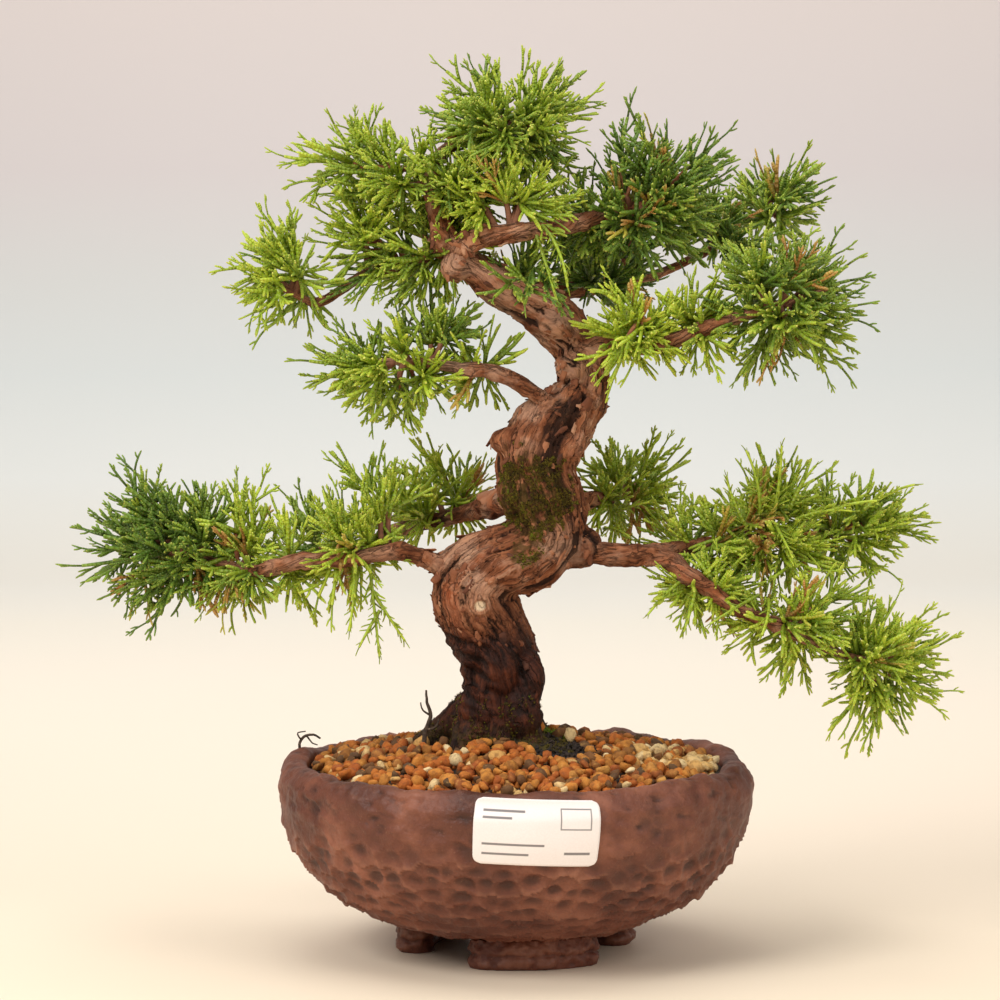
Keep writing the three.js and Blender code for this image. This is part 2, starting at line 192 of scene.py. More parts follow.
def rgb(red, green, blue):  # screen colour, 0 to 255, to the shader's own
    return tuple(
        (c / 255 / 12.92) if c < 10.3 else ((c / 255 + 0.055) / 1.055) ** 2.4 for c in (red, green, blue)
    )


# Materials.


def clayRecipe(t):
    at = t.place()
    relief = t.painted("relief")
    broad = t.noise(at, 30.0, 5.0, 0.6)
    grit = t.noise(at, 900.0, 3.0, 0.6)
    specks = t.cells(at, 420.0).rise(0.16, 0.05)
    body = t.ramp(broad, [(0.32, rgb(77, 39, 26)), (0.5, rgb(110, 61, 43)), (0.68, rgb(154, 96, 72))])
    # painted highlight: the raised ridges of the relief are lightened to a pale clay colour
    worn = t.blend(relief.rise(0.52, 0.9) * 0.55, body, rgb(170, 114, 88))
    # painted shade: the press hollows of the relief are darkened
    deep = t.blend(relief.rise(0.47, 0.1) * 0.78, worn, rgb(52, 27, 20))
    # painted shade: the clay turns darker and redder towards the bottom of the bowl, below 50 mm
    height = t.node("ShaderNodeSeparateXYZ", {}, {"Vector": at}, "Z")
    low = t.blend(height.rise(0.05, 0.014) * 0.5, deep, rgb(92, 42, 26))
    fired = t.blend(specks * 0.3, low, rgb(160, 112, 84))
    rough = 0.36 + broad * 0.16 + grit * 0.12 - relief.rise(0.5, 1.0) * 0.08
    fine = t.bump(grit, 0.00025, 0.7)
    lumps = t.bump(t.noise(at, 210.0, 5.0, 0.62), 0.0014, 0.75, fine)
    return {"Base Color": fired, "Roughness": rough, "Normal": lumps}


def paperRecipe(t):
    uv = t.node("ShaderNodeUVMap", {"uv_map": "face"}, {}, "UV")
    x = t.node("ShaderNodeSeparateXYZ", {}, {"Vector": uv}, "X")
    y = x.other("Y")
    fibre = t.noise(t.place(), 1600.0, 3.0)
    sheet = t.blend(fibre, rgb(240, 228, 224), rgb(250, 243, 240))
    ink = None
    for low, high, left, right in label["lines"]:  # plain ruled bars where a label is filled in
        bar = y.rise(low - 0.006, low + 0.006) * y.rise(high + 0.006, high - 0.006)
        bar = bar * x.rise(left - 0.004, left + 0.004) * x.rise(right + 0.004, right - 0.004)
        ink = bar if ink is None else t.maths("MAXIMUM", ink, bar)
    printed = t.blend(ink * 0.8, sheet, rgb(70, 66, 68))
    return {"Base Color": printed, "Roughness": 0.34 + fibre * 0.12, "Normal": t.bump(fibre, 0.00005, 0.5)}


def soilRecipe(t):
    at = t.place()
    crumbs = t.cells(at, 420.0)
    damp = t.noise(at, 120.0, 5.0)
    body = t.ramp(damp, [(0.3, rgb(28, 20, 16)), (0.6, rgb(52, 38, 29)), (0.8, rgb(84, 62, 44))])
    return {
        "Base Color": body,
        "Roughness": 0.75 + damp * 0.2,
        "Normal": t.bump(crumbs + damp * 0.5, 0.0012, 0.9),
    }


def gravelRecipe(t):
    at = t.place()
    tint = t.painted("tint")
    dust = t.noise(at, 420.0, 4.0, 0.6)
    pits = t.noise(at, 1500.0, 3.0, 0.6)
    stops = [
        (0.0, rgb(88, 64, 38)),
        (0.12, rgb(128, 82, 36)),
        (0.22, rgb(176, 112, 38)),
        (0.34, rgb(206, 134, 52)),
        (0.44, rgb(190, 104, 30)),
        (0.54, rgb(166, 84, 24)),
        (0.64, rgb(150, 86, 36)),
        (0.76, rgb(208, 146, 66)),
        (0.9, rgb(222, 180, 112)),
        (1.0, rgb(240, 216, 166)),
    ]
    body = t.ramp(tint, stops)
    shaded = t.blend(dust.rise(0.55, 0.3) * 0.5, body, rgb(92, 48, 16))
    dusty = t.blend(dust.rise(0.55, 0.75) * 0.45, shaded, rgb(238, 182, 98))
    return {
        "Base Color": dusty,
        "Roughness": 0.74 + dust * 0.15,
        "Normal": t.bump(pits * 0.6 + dust, 0.0006, 0.7),
    }


def mossRecipe(t):
    at = t.place()
    tint = t.painted("tint")
    patchy = t.noise(at, 160.0, 4.0)
    stops = [
        (0.0, rgb(24, 18, 8)), (0.32, rgb(64, 52, 10)), (0.65, rgb(136, 118, 24)), (1.0, rgb(118, 160, 34))
    ]
    return {
        "Base Color": t.ramp((tint * 0.6 + patchy * 0.5).held(), stops),
        "Roughness": 0.9 + patchy * 0.08,
        "Normal": t.bump(t.noise(at, 1400.0, 3.0), 0.0006, 0.7),
    }


def barkRecipe(t):
    grain = t.painted("grain", "Vector")  # round the limb in x and y, and slowly along it in z
    wet = t.painted("wet")
    relief = t.painted("relief")
    fibres = t.noise(grain, 1.6, 7.0, 0.68, 0.3)
    strips = t.noise(grain, 0.42, 4.0, 0.6, 0.5)
    hairs = t.noise(grain, 6.0, 4.0, 0.7)
    patches = t.noise(t.place(), 70.0, 4.0, 0.6)
    stops = [
        (0.32, rgb(58, 30, 18)),
        (0.42, rgb(120, 68, 42)),
        (0.52, rgb(162, 102, 68)),
        (0.63, rgb(196, 140, 102)),
        (0.78, rgb(226, 186, 154)),
    ]
    dry = t.ramp((fibres * 0.46 + patches * 0.24 + strips * 0.3).held(), stops)
    ruddy = t.blend(strips.rise(0.52, 0.64) * 0.55, dry, rgb(156, 76, 42))
    # pale lightens the bark to pinkish grey: painted highlight on the sunlit bends, and paler bark up the
    # trunk and on some stems
    pale = t.blend((t.painted("pale") * patches.rise(0.42, 0.62)).held() * 0.62, ruddy, rgb(204, 164, 138))
    # dark colours for the low trunk: damp bark and painted shade
    damp = t.ramp(
        (fibres * 0.6 + patches * 0.4).held(),
        [(0.34, rgb(20, 10, 6)), (0.48, rgb(54, 23, 12)), (0.6, rgb(98, 48, 26)), (0.74, rgb(138, 84, 50))],
    )
    tone = t.blend(wet.held(), pale, damp)
    lines = (1.0 - t.maths("ABSOLUTE", t.noise(grain, 2.2, 5.0, 0.6, 0.6) - 0.5) * 26.0).held()
    wide = (1.0 - t.maths("ABSOLUTE", t.noise(grain, 0.9, 4.0, 0.55, 0.8) - 0.52) * 34.0).held()
    lined = t.blend(
        t.maths("MAXIMUM", lines * 0.3, wide * 0.75) * strips.rise(0.36, 0.5), tone, rgb(44, 22, 13)
    )
    # painted shade: the bark darkens to near black in the cracks and other low relief
    dark = t.blend(relief.rise(0.46, 0.2) * 0.9, lined, rgb(30, 15, 9))
    # painted highlight: raised bark lightens, pale pinkish on the dry bark and warm brown on the dark low
    # trunk
    raised = t.blend(
        relief.rise(0.6, 0.95) * 0.4, dark, t.blend(wet.held(), rgb(222, 178, 146), rgb(140, 80, 50))
    )
    green = t.painted("mossy") * t.noise(t.place(), 330.0, 4.0).rise(0.38, 0.55)
    grown = t.blend(green.held() * 0.85, raised, rgb(70, 54, 18))
    cut = t.blend(t.painted("cut"), grown, rgb(232, 206, 172))
    rough = (0.86 - wet * 0.28 + fibres * 0.12).held()
    fine = t.bump(fibres * 0.7 + hairs * 0.3 + patches * 0.4 - wide * 0.6 - lines * 0.1, 0.0012, 1.0)
    return {"Base Color": cut, "Roughness": rough, "Normal": fine}


def flakeRecipe(t):
    worn = t.noise(t.place(), 260.0, 5.0)
    tint = t.painted("tint")
    stops = [
        (0.1, rgb(62, 32, 20)), (0.4, rgb(124, 70, 42)), (0.65, rgb(164, 106, 72)), (0.95, rgb(206, 162, 130))
    ]
    return {
        "Base Color": t.ramp((tint * 0.7 + worn * 0.5 - 0.1).held(), stops),
        "Roughness": 0.8 + worn * 0.15,
        "Normal": t.bump(worn, 0.0004, 0.8),
    }


def twigRecipe(t):
    at = t.place()
    worn = t.noise(at, 210.0, 4.0)
    age = t.painted("age")
    young = t.ramp(worn, [(0.3, rgb(132, 74, 46)), (0.55, rgb(168, 102, 66)), (0.8, rgb(196, 140, 92))])
    old = t.ramp(worn, [(0.3, rgb(86, 52, 38)), (0.6, rgb(138, 92, 68)), (0.8, rgb(176, 136, 110))])
    return {
        "Base Color": t.blend(age, young, old),
        "Roughness": 0.72 + worn * 0.2,
        "Normal": t.bump(t.noise(at, 900.0, 4.0), 0.0004, 0.8),
    }


def leafRecipe(t):
    uv = t.node("ShaderNodeUVMap", {"uv_map": "OFBake"}, {}, "UV")
    tone = t.node("ShaderNodeSeparateXYZ", {}, {"Vector": uv}, "X")
    along = tone.other("Y")
    dark = t.ramp(
        along,
        [
            (0.0, rgb(122, 79, 28)), (0.1, rgb(69, 90, 19)), (0.5, rgb(84, 117, 25)),
            (0.88, rgb(131, 161, 44)), (1.0, rgb(213, 211, 92)),
        ],
    )
    light = t.ramp(
        along,
        [
            (0.0, rgb(171, 117, 42)), (0.1, rgb(134, 152, 30)), (0.5, rgb(166, 189, 40)),
            (0.88, rgb(208, 222, 70)), (1.0, rgb(250, 246, 125)),
        ],
    )
    fresh = t.blend(tone.rise(0.15, 0.75), dark, light)
    tired = t.blend(
        tone.rise(0.86, 0.95), fresh,
        t.ramp(along, [(0.0, rgb(120, 70, 34)), (0.6, rgb(186, 132, 60)), (1.0, rgb(214, 176, 96))]),
    )
    scales = t.maths("SINE", along * 92.0)
    pale = scales.rise(0.3, 1.0) * t.noise(t.place(), 700.0, 2.0).rise(0.4, 0.7)
    mottled = t.blend(pale * 0.3, tired, rgb(206, 222, 150))
    return {"Base Color": mottled, "Roughness": 0.5 - tone * 0.06, "Normal": t.bump(scales, 0.0002, 0.6)}


def wornRecipe(scale, stops, gloss, depth):  # one noise gives colour, roughness and relief
    def recipe(t):
        worn = t.noise(t.place(), scale, 5.0)
        return {
            "Base Color": t.ramp(worn, stops),
            "Roughness": gloss[0] + worn * gloss[1],
            "Normal": t.bump(worn, *depth),
        }

    return recipe


deadStops = [(0.3, rgb(40, 30, 24)), (0.6, rgb(84, 68, 54)), (0.8, rgb(132, 112, 92))]
netStops = [(0.4, rgb(34, 38, 34)), (0.7, rgb(74, 66, 54))]
wireStops = [(0.3, rgb(118, 112, 106)), (0.7, rgb(176, 172, 166))]
label = {
    "width": 48.5,
    "height": 25.4,
    "corner": 3.0,
    "turn": 4.6,  # degrees round the bowl
    "tilt": -2.5,
    "centre": 62.5,  # height of its middle
    "proud": 0.9,  # over the bowl's plain side
    "thick": 0.3,
    "lines": [  # low, high, left, right, in shares of the label
        (0.80, 0.835, 0.07, 0.40),
        (0.70, 0.735, 0.07, 0.30),
        (0.30, 0.335, 0.07, 0.56),
        (0.15, 0.185, 0.07, 0.44),
        (0.56, 0.58, 0.68, 0.93),
        (0.86, 0.88, 0.68, 0.93),
        (0.56, 0.88, 0.68, 0.69),
        (0.56, 0.88, 0.92, 0.93),
        (0.18, 0.22, 0.72, 0.93),
    ],
}

clay = newMaterial("clay", clayRecipe, {"Specular IOR Level": 0.4})
paper = newMaterial("paper", paperRecipe)
soilDark = newMaterial("soilDark", soilRecipe)
gravelClay = newMaterial("gravelClay", gravelRecipe)
mossGreen = newMaterial("mossGreen", mossRecipe)
bark = newMaterial("bark", barkRecipe, {"Specular IOR Level": 0.25})
twigBark = newMaterial("twigBark", twigRecipe)
flakeBark = newMaterial("flakeBark", flakeRecipe)
leafGreen = newMaterial("leafGreen", leafRecipe, {"Subsurface Weight": 0.12, "Subsurface Scale": 0.001})
deadWood = newMaterial("deadWood", wornRecipe(700.0, deadStops, (0.85, 0.1), (0.0003, 0.8)))
netPlastic = newMaterial("netPlastic", wornRecipe(300.0, netStops, (0.5, 0.35), (0.0002, 0.5)))
drawnRecipe = wornRecipe(500.0, wireStops, (0.3, 0.25), (0.0001, 0.5))
bareWire = newMaterial("bareWire", drawnRecipe, {"Metallic": 1.0})
print("materials made")


# Meshes. Shapes are worked out in millimetres and stored in metres.


def paint(mesh, name, numbers):  # a number or three at each point
    numbers = np.asarray(numbers, dtype=np.float32)
    kind, field = ("FLOAT_VECTOR", "vector") if numbers.ndim == 2 else ("FLOAT", "value")
    layer = mesh.attributes.get(name) or mesh.attributes.new(name, kind, "POINT")
    layer.data.foreach_set(field, numbers.ravel())


def addObject(name, points, edges, faces, values):
    mesh = bpy.data.meshes.new(name)
    mesh.from_pydata((np.asarray(points, float) * mm).tolist(), edges, faces)
    for key, numbers in values.items():
        paint(mesh, key, numbers)
    made = bpy.data.objects.new(name, mesh)
    bpy.context.scene.collection.objects.link(made)
    return made


def addMesh(name, points, faces, material, values=None):
    made = addObject(name, points, [], faces, values or {})
    made.data.materials.append(material)
    made.data.shade_smooth()
    return made


def finish(piece, slotName, *nodes):
    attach(piece, "root")
    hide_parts(*nodes)
    return piece


def gridFaces(rows, columns, closed=False):  # columns join up round; rows join up too when closed
    faces = []
    for i in range(rows if closed else rows - 1):
        for j in range(columns):
            a, b = i * columns, ((i + 1) % rows) * columns
            faces.append((a + j, a + (j + 1) % columns, b + (j + 1) % columns, b + j))
    return faces


def discOf(grid, rings, columns, under, topMiddle, lowMiddle):  # a round top on a sunken rim, closed below
    points = np.vstack([grid, under, topMiddle, lowMiddle])
    faces, first = gridFaces(rings, columns), len(grid)
    for j in range(columns):
        after = (j + 1) % columns
        faces.append((first - columns + j, first - columns + after, first + after, first + j))
        faces.append((after, j, len(points) - 2))
        faces.append((first + j, first + after, len(points) - 1))
    return points, [tuple(reversed(face)) for face in faces]


def smoothStep(x, low, high):
    share = np.clip((np.asarray(x, float) - low) / (high - low), 0, 1)
    return share * share * (3 - 2 * share)


def lumpy(points, scale, octaves=3, seed=0.0):  # fractal noise, about -1 to 1, at each point
    shift = Vector((seed, seed * 1.7 + 3, seed * 0.6 - 5))
    places = [Vector(p) * scale + shift for p in np.asarray(points, float)]
    return np.array([noise.fractal(place, 0.9, 2.1, octaves) for place in places])


def splineThrough(stations, spacing):  # Catmull-Rom through rows of numbers, at an even spacing
    rows = np.asarray(stations, float)
    padded = np.vstack([2 * rows[0] - rows[1], rows, 2 * rows[-1] - rows[-2]])
    fine = []
    for i in range(1, len(padded) - 2):
        a, b, c, d = padded[i - 1 : i + 3]
        for t in np.linspace(0, 1, 24, endpoint=False):
            base = 2 * b + (c - a) * t
            fine.append(0.5 * (base + (2 * a - 5 * b + 4 * c - d) * t**2 + (3 * b - a - 3 * c + d) * t**3))
    fine = np.array([*fine, rows[-1]])
    steps = np.concatenate([[0], np.cumsum(np.linalg.norm(np.diff(fine[:, :3], axis=0), axis=1))])
    count = max(2, round(steps[-1] / spacing) + 1)
    even = np.linspace(0, steps[-1], count)
    return np.column_stack([np.interp(even, steps, fine[:, k]) for k in range(rows.shape[1])]), even


def framesAlong(line):  # for each point its direction and two directions across it, without twist
    ahead = np.gradient(line, axis=0)
    ahead /= np.linalg.norm(ahead, axis=1)[:, None]
    across = np.zeros_like(ahead)
    side = np.cross(ahead[0], (0.31, 0.2, 0.93) if abs(ahead[0][2]) < 0.9 else (0.1, -1, 0))
    for i, forward in enumerate(ahead):
        side = side - forward * side.dot(forward)
        side = side / np.linalg.norm(side)
        across[i] = side
    return ahead, across, np.cross(ahead, across)


def sweep(line, radii, sides):  # closed tube: its points and faces
    ahead, across, over = framesAlong(line)
    angles = np.linspace(0, tau, sides, endpoint=False)
    rings = line[:, None, :] + radii[:, None, None] * (
        np.cos(angles)[None, :, None] * across[:, None, :] + np.sin(angles)[None, :, None] * over[:, None, :]
    )
    points = rings.reshape(-1, 3)
    faces = gridFaces(len(line), sides)
    start, end = len(points), len(points) + 1
    points = np.vstack([points, line[0] - ahead[0] * radii[0] * 0.3, line[-1] + ahead[-1] * radii[-1] * 0.6])
    last = (len(line) - 1) * sides
    for j in range(sides):
        faces.append((start, (j + 1) % sides, j))
        faces.append((end, last + j, last + (j + 1) % sides))
    return points, faces


def evaluated(made):  # the object with its modifiers worked in, as a plain mesh
    graph = bpy.context.evaluated_depsgraph_get()
    fresh = bpy.data.meshes.new_from_object(
        made.evaluated_get(graph), preserve_all_data_layers=True, depsgraph=graph
    )
    made.modifiers.clear()
    old = made.data
    made.data = fresh
    bpy.data.meshes.remove(old)
    return made


def corners(mesh):
    flat = np.empty(len(mesh.vertices) * 3, dtype=np.float32)
    mesh.vertices.foreach_get("co", flat)
    return flat.reshape(-1, 3).astype(float) / mm


def setCorners(mesh, points):
    mesh.vertices.foreach_set("co", (points * mm).astype(np.float32).ravel())
    mesh.update()


def normalsOf(mesh):
    flat = np.empty(len(mesh.vertices) * 3, dtype=np.float32)
    mesh.vertices.foreach_get("normal", flat)
    return flat.reshape(-1, 3).astype(float)


# The room: a pale floor that sweeps up into a backdrop, soft lights, and the camera.

room = {
    "front": -2600.0,
    "bend": 1500.0,  # where the floor starts to turn up
    "round": 900.0,
    "high": 4200.0,
    "wide": 4600.0,
}


def floorRecipe(t):
    # painted fall-off of the light: the sweep is warm cream at the front of the floor and greys as it rises
    # up the backdrop
    at = t.node("ShaderNodeSeparateXYZ", {}, {"Vector": t.place()}, "Z")
    cloth = t.noise(t.place(), 3.0, 3.0)
    back = ((at.other("Y") + 0.1) / 1.5).held() * 0.35
    share = (back + at / 0.55 * 0.65 + cloth * 0.03 - 0.015).held()
    stops = [
        (0.0, rgb(245, 228, 203)),
        (0.12, rgb(240, 225, 206)),
        (0.3, rgb(236, 230, 216)),
        (0.42, rgb(230, 232, 228)),
        (0.52, rgb(218, 222, 220)),
        (0.62, rgb(215, 215, 212)),
        (0.74, rgb(216, 208, 206)),
        (1.0, rgb(222, 210, 205)),
    ]
    return {"Base Color": t.ramp(share, stops), "Roughness": 0.55 + cloth * 0.1}


def makeRoom():
    line = [(room["front"], 0.0), (0.0, 0.0), (room["bend"], 0.0)]
    for k in range(1, 17):
        turn = k / 16 * math.pi / 2
        line.append((room["bend"] + room["round"] * math.sin(turn), room["round"] * (1 - math.cos(turn))))
    line.append((room["bend"] + room["round"], room["high"]))
    points = [(x, y, z) for y, z in line for x in (-room["wide"], room["wide"])]
    faces = [(2 * i, 2 * i + 1, 2 * i + 3, 2 * i + 2) for i in range(len(line) - 1)]
    sweepUp = addMesh("backdrop", points, faces, newMaterial("backdrop", floorRecipe))


lamps = {  # place, size, watts, colour, what it points at
    "softbox_left": ((-1150, -1150, 1350), 900, 25, (1.0, 0.985, 0.96), (0, 0, 150)),
    "softbox_right": ((1250, -900, 1000), 1000, 9, (1.0, 0.98, 0.95), (0, 0, 150)),
    "softbox_top": ((-150, 100, 1700), 1500, 16, (1.0, 0.99, 0.97), (0, 0, 150)),
    "backdrop_glow": ((0, 1100, 1500), 1800, 10, (1.0, 0.99, 0.98), (0, 2300, 500)),
}


def makeLights():
    for name, (place, size, watts, colour, aim) in lamps.items():
        lamp = bpy.data.lights.new(name, "AREA")
        lamp.size, lamp.energy, lamp.color = size * mm, watts, colour
        made = bpy.data.objects.new(name, lamp)
        made.location = Vector(place) * mm
        made.rotation_euler = (Vector(aim) - Vector(place)).to_track_quat("-Z", "Y").to_euler()
        bpy.context.scene.collection.objects.link(made)
    world = bpy.data.worlds.new("room")
    world.use_nodes = True
    world.node_tree.nodes["Background"].inputs["Color"].default_value = (1.0, 0.985, 0.97, 1.0)
    world.node_tree.nodes["Background"].inputs["Strength"].default_value = 0.38
    bpy.context.scene.world = world
    bpy.context.scene.view_settings.view_transform = "Standard"


view = {"place": (-6.4, -1540.0, 303.0), "down": 4.5, "lens": 138.6}


def makeCamera():
    lens = bpy.data.cameras.new("camera")
    lens.lens, lens.sensor_width = view["lens"], 36.0
    lens.clip_end = 50.0
    made = bpy.data.objects.new("camera", lens)
    made.location = Vector(view["place"]) * mm
    made.rotation_euler = (math.radians(90 - view["down"]), 0, 0)
    bpy.context.scene.collection.objects.link(made)
    bpy.context.scene.camera = made


makeRoom()
makeLights()
makeCamera()
print("room made")


# The bowl.

bowl = {
    "belly": 95.5,
    "bellyHeight": 65.5,
    "rim": 77.0,
    "lipInset": 3.0,
    "wall": 9.0,
    "floor": 31.0,
    "foot": 10.5,
    "drain": 10.0,
    "columns": 520,
    "pressWide": 9.8,  # finger presses on the lower side, and how deep they go
    "pressHigh": 7.6,
    "pressDeep": 1.75,
    "waveDeep": 1.5,  # slow waves of the thrown wall
    "lipWave": 2.2,
    "lipSwings": [(2, 1.2, 0.7), (3, -0.6, 0.5), (7, 0, 0.25), (17, 2, 0.16)],  # times round, shift, strength
}


def bowlProfile():  # radius and height: outside from the drain hole up to the lip, and inside back down
    reach, drop = bowl["belly"] - bowl["floor"], bowl["bellyHeight"] - bowl["foot"]
    lip = bowl["belly"] - bowl["lipInset"]
    outside = [(bowl["drain"], bowl["foot"]), (20.0, bowl["foot"]), (bowl["floor"] - 2, bowl["foot"])]
    for k in range(1, 40):
        turn = k / 40 * math.pi / 2
        outside.append((bowl["floor"] + reach * math.sin(turn), bowl["bellyHeight"] - drop * math.cos(turn)))
    rim = bowl["rim"]
    outside += [(bowl["belly"] - 0.1, rim - 8.5), (bowl["belly"] - 0.9, rim - 5.8), (lip + 0.6, rim - 3.4)]
    centre, half = lip - bowl["wall"] / 2, bowl["wall"] / 2
    for k in range(1, 12):
        turn = k / 12 * math.pi
        outside.append((centre + half * math.cos(turn), rim - 3.0 + 3.0 * math.sin(turn)))
    inside = [(lip - bowl["wall"], rim - 5.0), (lip - bowl["wall"] + 0.4, rim - 11.0)]
    for k in range(0, 9):
        turn = (1 - k / 9) * math.pi / 2
        wide, deep = reach - bowl["wall"], drop - bowl["wall"]
        inside.append((bowl["floor"] + wide * math.sin(turn), bowl["bellyHeight"] - deep * math.cos(turn)))
    inside.append((bowl["drain"], bowl["foot"] + bowl["wall"]))
    return np.array(outside), np.array(inside)


def makeBowl():
    outside, inside = bowlProfile()
    outer, _ = splineThrough(np.column_stack([outside, np.zeros(len(outside))]), 0.92)
    section = np.vstack([outer[:, :2], inside])
    rows, columns = len(section), bowl["columns"]
    angles = np.linspace(0, tau, columns, endpoint=False)
    radius = np.repeat(section[:, 0], columns)
    height = np.repeat(section[:, 1], columns)
    turn = np.tile(angles, rows)
    shell = np.column_stack([radius * np.cos(turn), radius * np.sin(turn), height])
    # distance down the outside from the lip
    length = np.concatenate([[0], np.cumsum(np.linalg.norm(np.diff(section, axis=0), axis=1))])
    crest = len(outer) - 6
    down = np.repeat(length[crest] - length, columns)
    outsideShare = np.repeat((np.arange(rows) < len(outer)).astype(float), columns)

    # finger presses: jittered rows of cells, each hollow and tilted, with a sharp lower edge
    rng = random.Random(41)
    seeds, seedDown = [], []
    v = 3.0
    while v < length[crest] - 16:
        at = np.interp(length[crest] - v, length, section[:, 0])
        many = max(10, round(tau * at / (bowl["pressWide"] * (1.2 if v < 34 else 1.0))))
        start = rng.random()
        for k in range(many):
            a = tau * (k + start + rng.uniform(-0.4, 0.4)) / many
            dv = rng.uniform(-3.8, 3.8)
            under = (v + dv) * bowl["pressWide"] / bowl["pressHigh"]
            seeds.append((at * math.cos(a), at * math.sin(a), under))
            seedDown.append(v + dv)
        v += bowl["pressHigh"]
    tree = KDTree(len(seeds))
    for k, seed in enumerate(seeds):
        tree.insert(seed, k)
    tree.balance()
    stretch = bowl["pressWide"] / bowl["pressHigh"]
    wander = 1.5 * np.column_stack([lumpy(shell, 0.11, 2, seed) for seed in (4.0, 9.0, 15.0)])
    nearest, second, lean = np.zeros(len(shell)), np.zeros(len(shell)), np.zeros(len(shell))
    for i in np.nonzero(outsideShare > 0.5)[0]:
        place = (shell[i, 0] + wander[i, 0], shell[i, 1] + wander[i, 1], (down[i] + wander[i, 2]) * stretch)
        (_, first, d1), (_, _, d2) = tree.find_n(place, 2)
        nearest[i], second[i], lean[i] = d1, d2, down[i] - seedDown[first]
    edge = second - nearest
    depth = bowl["pressDeep"] * (0.75 + 0.45 * lumpy(shell, 0.05, 2, 31.0))
    hollow = -(1 - np.clip(nearest / 5.2, 0, 1) ** 2)
    ridge = np.exp(-((edge / 1.3) ** 2))
    pressed = depth * (hollow + 0.32 * ridge) + 0.13 * lean
    strength = 0.3 + 0.7 * smoothStep(down, 20, 42)
    strength *= 1 - 0.75 * smoothStep(height, 14, 11)
    broad = lumpy(shell * (1, 1, 1.8), 0.045, 3, 2.0) * bowl["waveDeep"]
    scars = np.clip(lumpy(shell * (1, 1, 2.4), 0.12, 3, 77.0) - 0.15, 0, 1) * 1.4 * smoothStep(down, 34, 14)
    grain = lumpy(shell, 0.6, 3, 12.0) * 0.14
    middle = np.radians(label["turn"] - 90)
    sideways = np.abs((turn - middle + math.pi) % tau - math.pi) * radius
    underLabel = smoothStep(sideways, 30, 23) * smoothStep(np.abs(height - label["centre"]), 17, 12)
    relief = (pressed * strength + broad - scars + grain) * (1 - 0.85 * underLabel) * outsideShare
    relief *= smoothStep(down, -6, 2) * 0.75 + 0.25
    lip = smoothStep(height, 58, 77)
    sway = sum(strong * np.sin(times * turn + shift) for times, shift, strong in bowl["lipSwings"])
    out = np.column_stack([np.cos(turn), np.sin(turn), 0 * turn])
    pinch = lumpy(out * 92, 0.055, 3, 21.0)
    rise = lip * bowl["lipWave"] * (0.45 * sway + 0.8 * pinch)
    inwards = lip * (0.9 * lumpy((out + (0, 0, 0.2)) * 92, 0.06, 3, 55.0))
    slope = np.gradient(section, axis=0)
    facing = np.column_stack([slope[:, 1], -slope[:, 0]])
    facing /= np.linalg.norm(facing, axis=1)[:, None]
    facing = np.repeat(facing, columns, axis=0)
    normal = out * facing[:, :1] + np.column_stack([0 * turn, 0 * turn, facing[:, 1]])
    shell = shell + normal * relief[:, None] + out * inwards[:, None]
    shell[:, 2] += rise
    shell[:, 2] = np.maximum(shell[:, 2], bowl["foot"] - 0.6)
    faces = gridFaces(rows, columns, closed=True)
    faces = [face[::-1] for face in faces]
    # relief also sets the clay's painted shade in the press hollows and painted highlight on the ridges
    shown = 0.5 + (pressed * strength - scars + 0.4 * broad) / 3.4
    made = addMesh("bowl_clay", shell, faces, clay, {"relief": np.clip(shown, 0, 1)})
    return finish(made, "clay", "bowl")


makeBowl()
print("bowl made")


def wallRadius(height):  # the bowl's plain outside at a height
    drop = bowl["bellyHeight"] - bowl["foot"]
    share = np.clip((bowl["bellyHeight"] - np.minimum(height, bowl["bellyHeight"])) / drop, 0, 1)
    side = bowl["floor"] + (bowl["belly"] - bowl["floor"]) * np.sqrt(1 - share**2)
    lean = smoothStep(height, bowl["bellyHeight"] + 1, bowl["rim"] - 2) * bowl["lipInset"]
    return side - lean


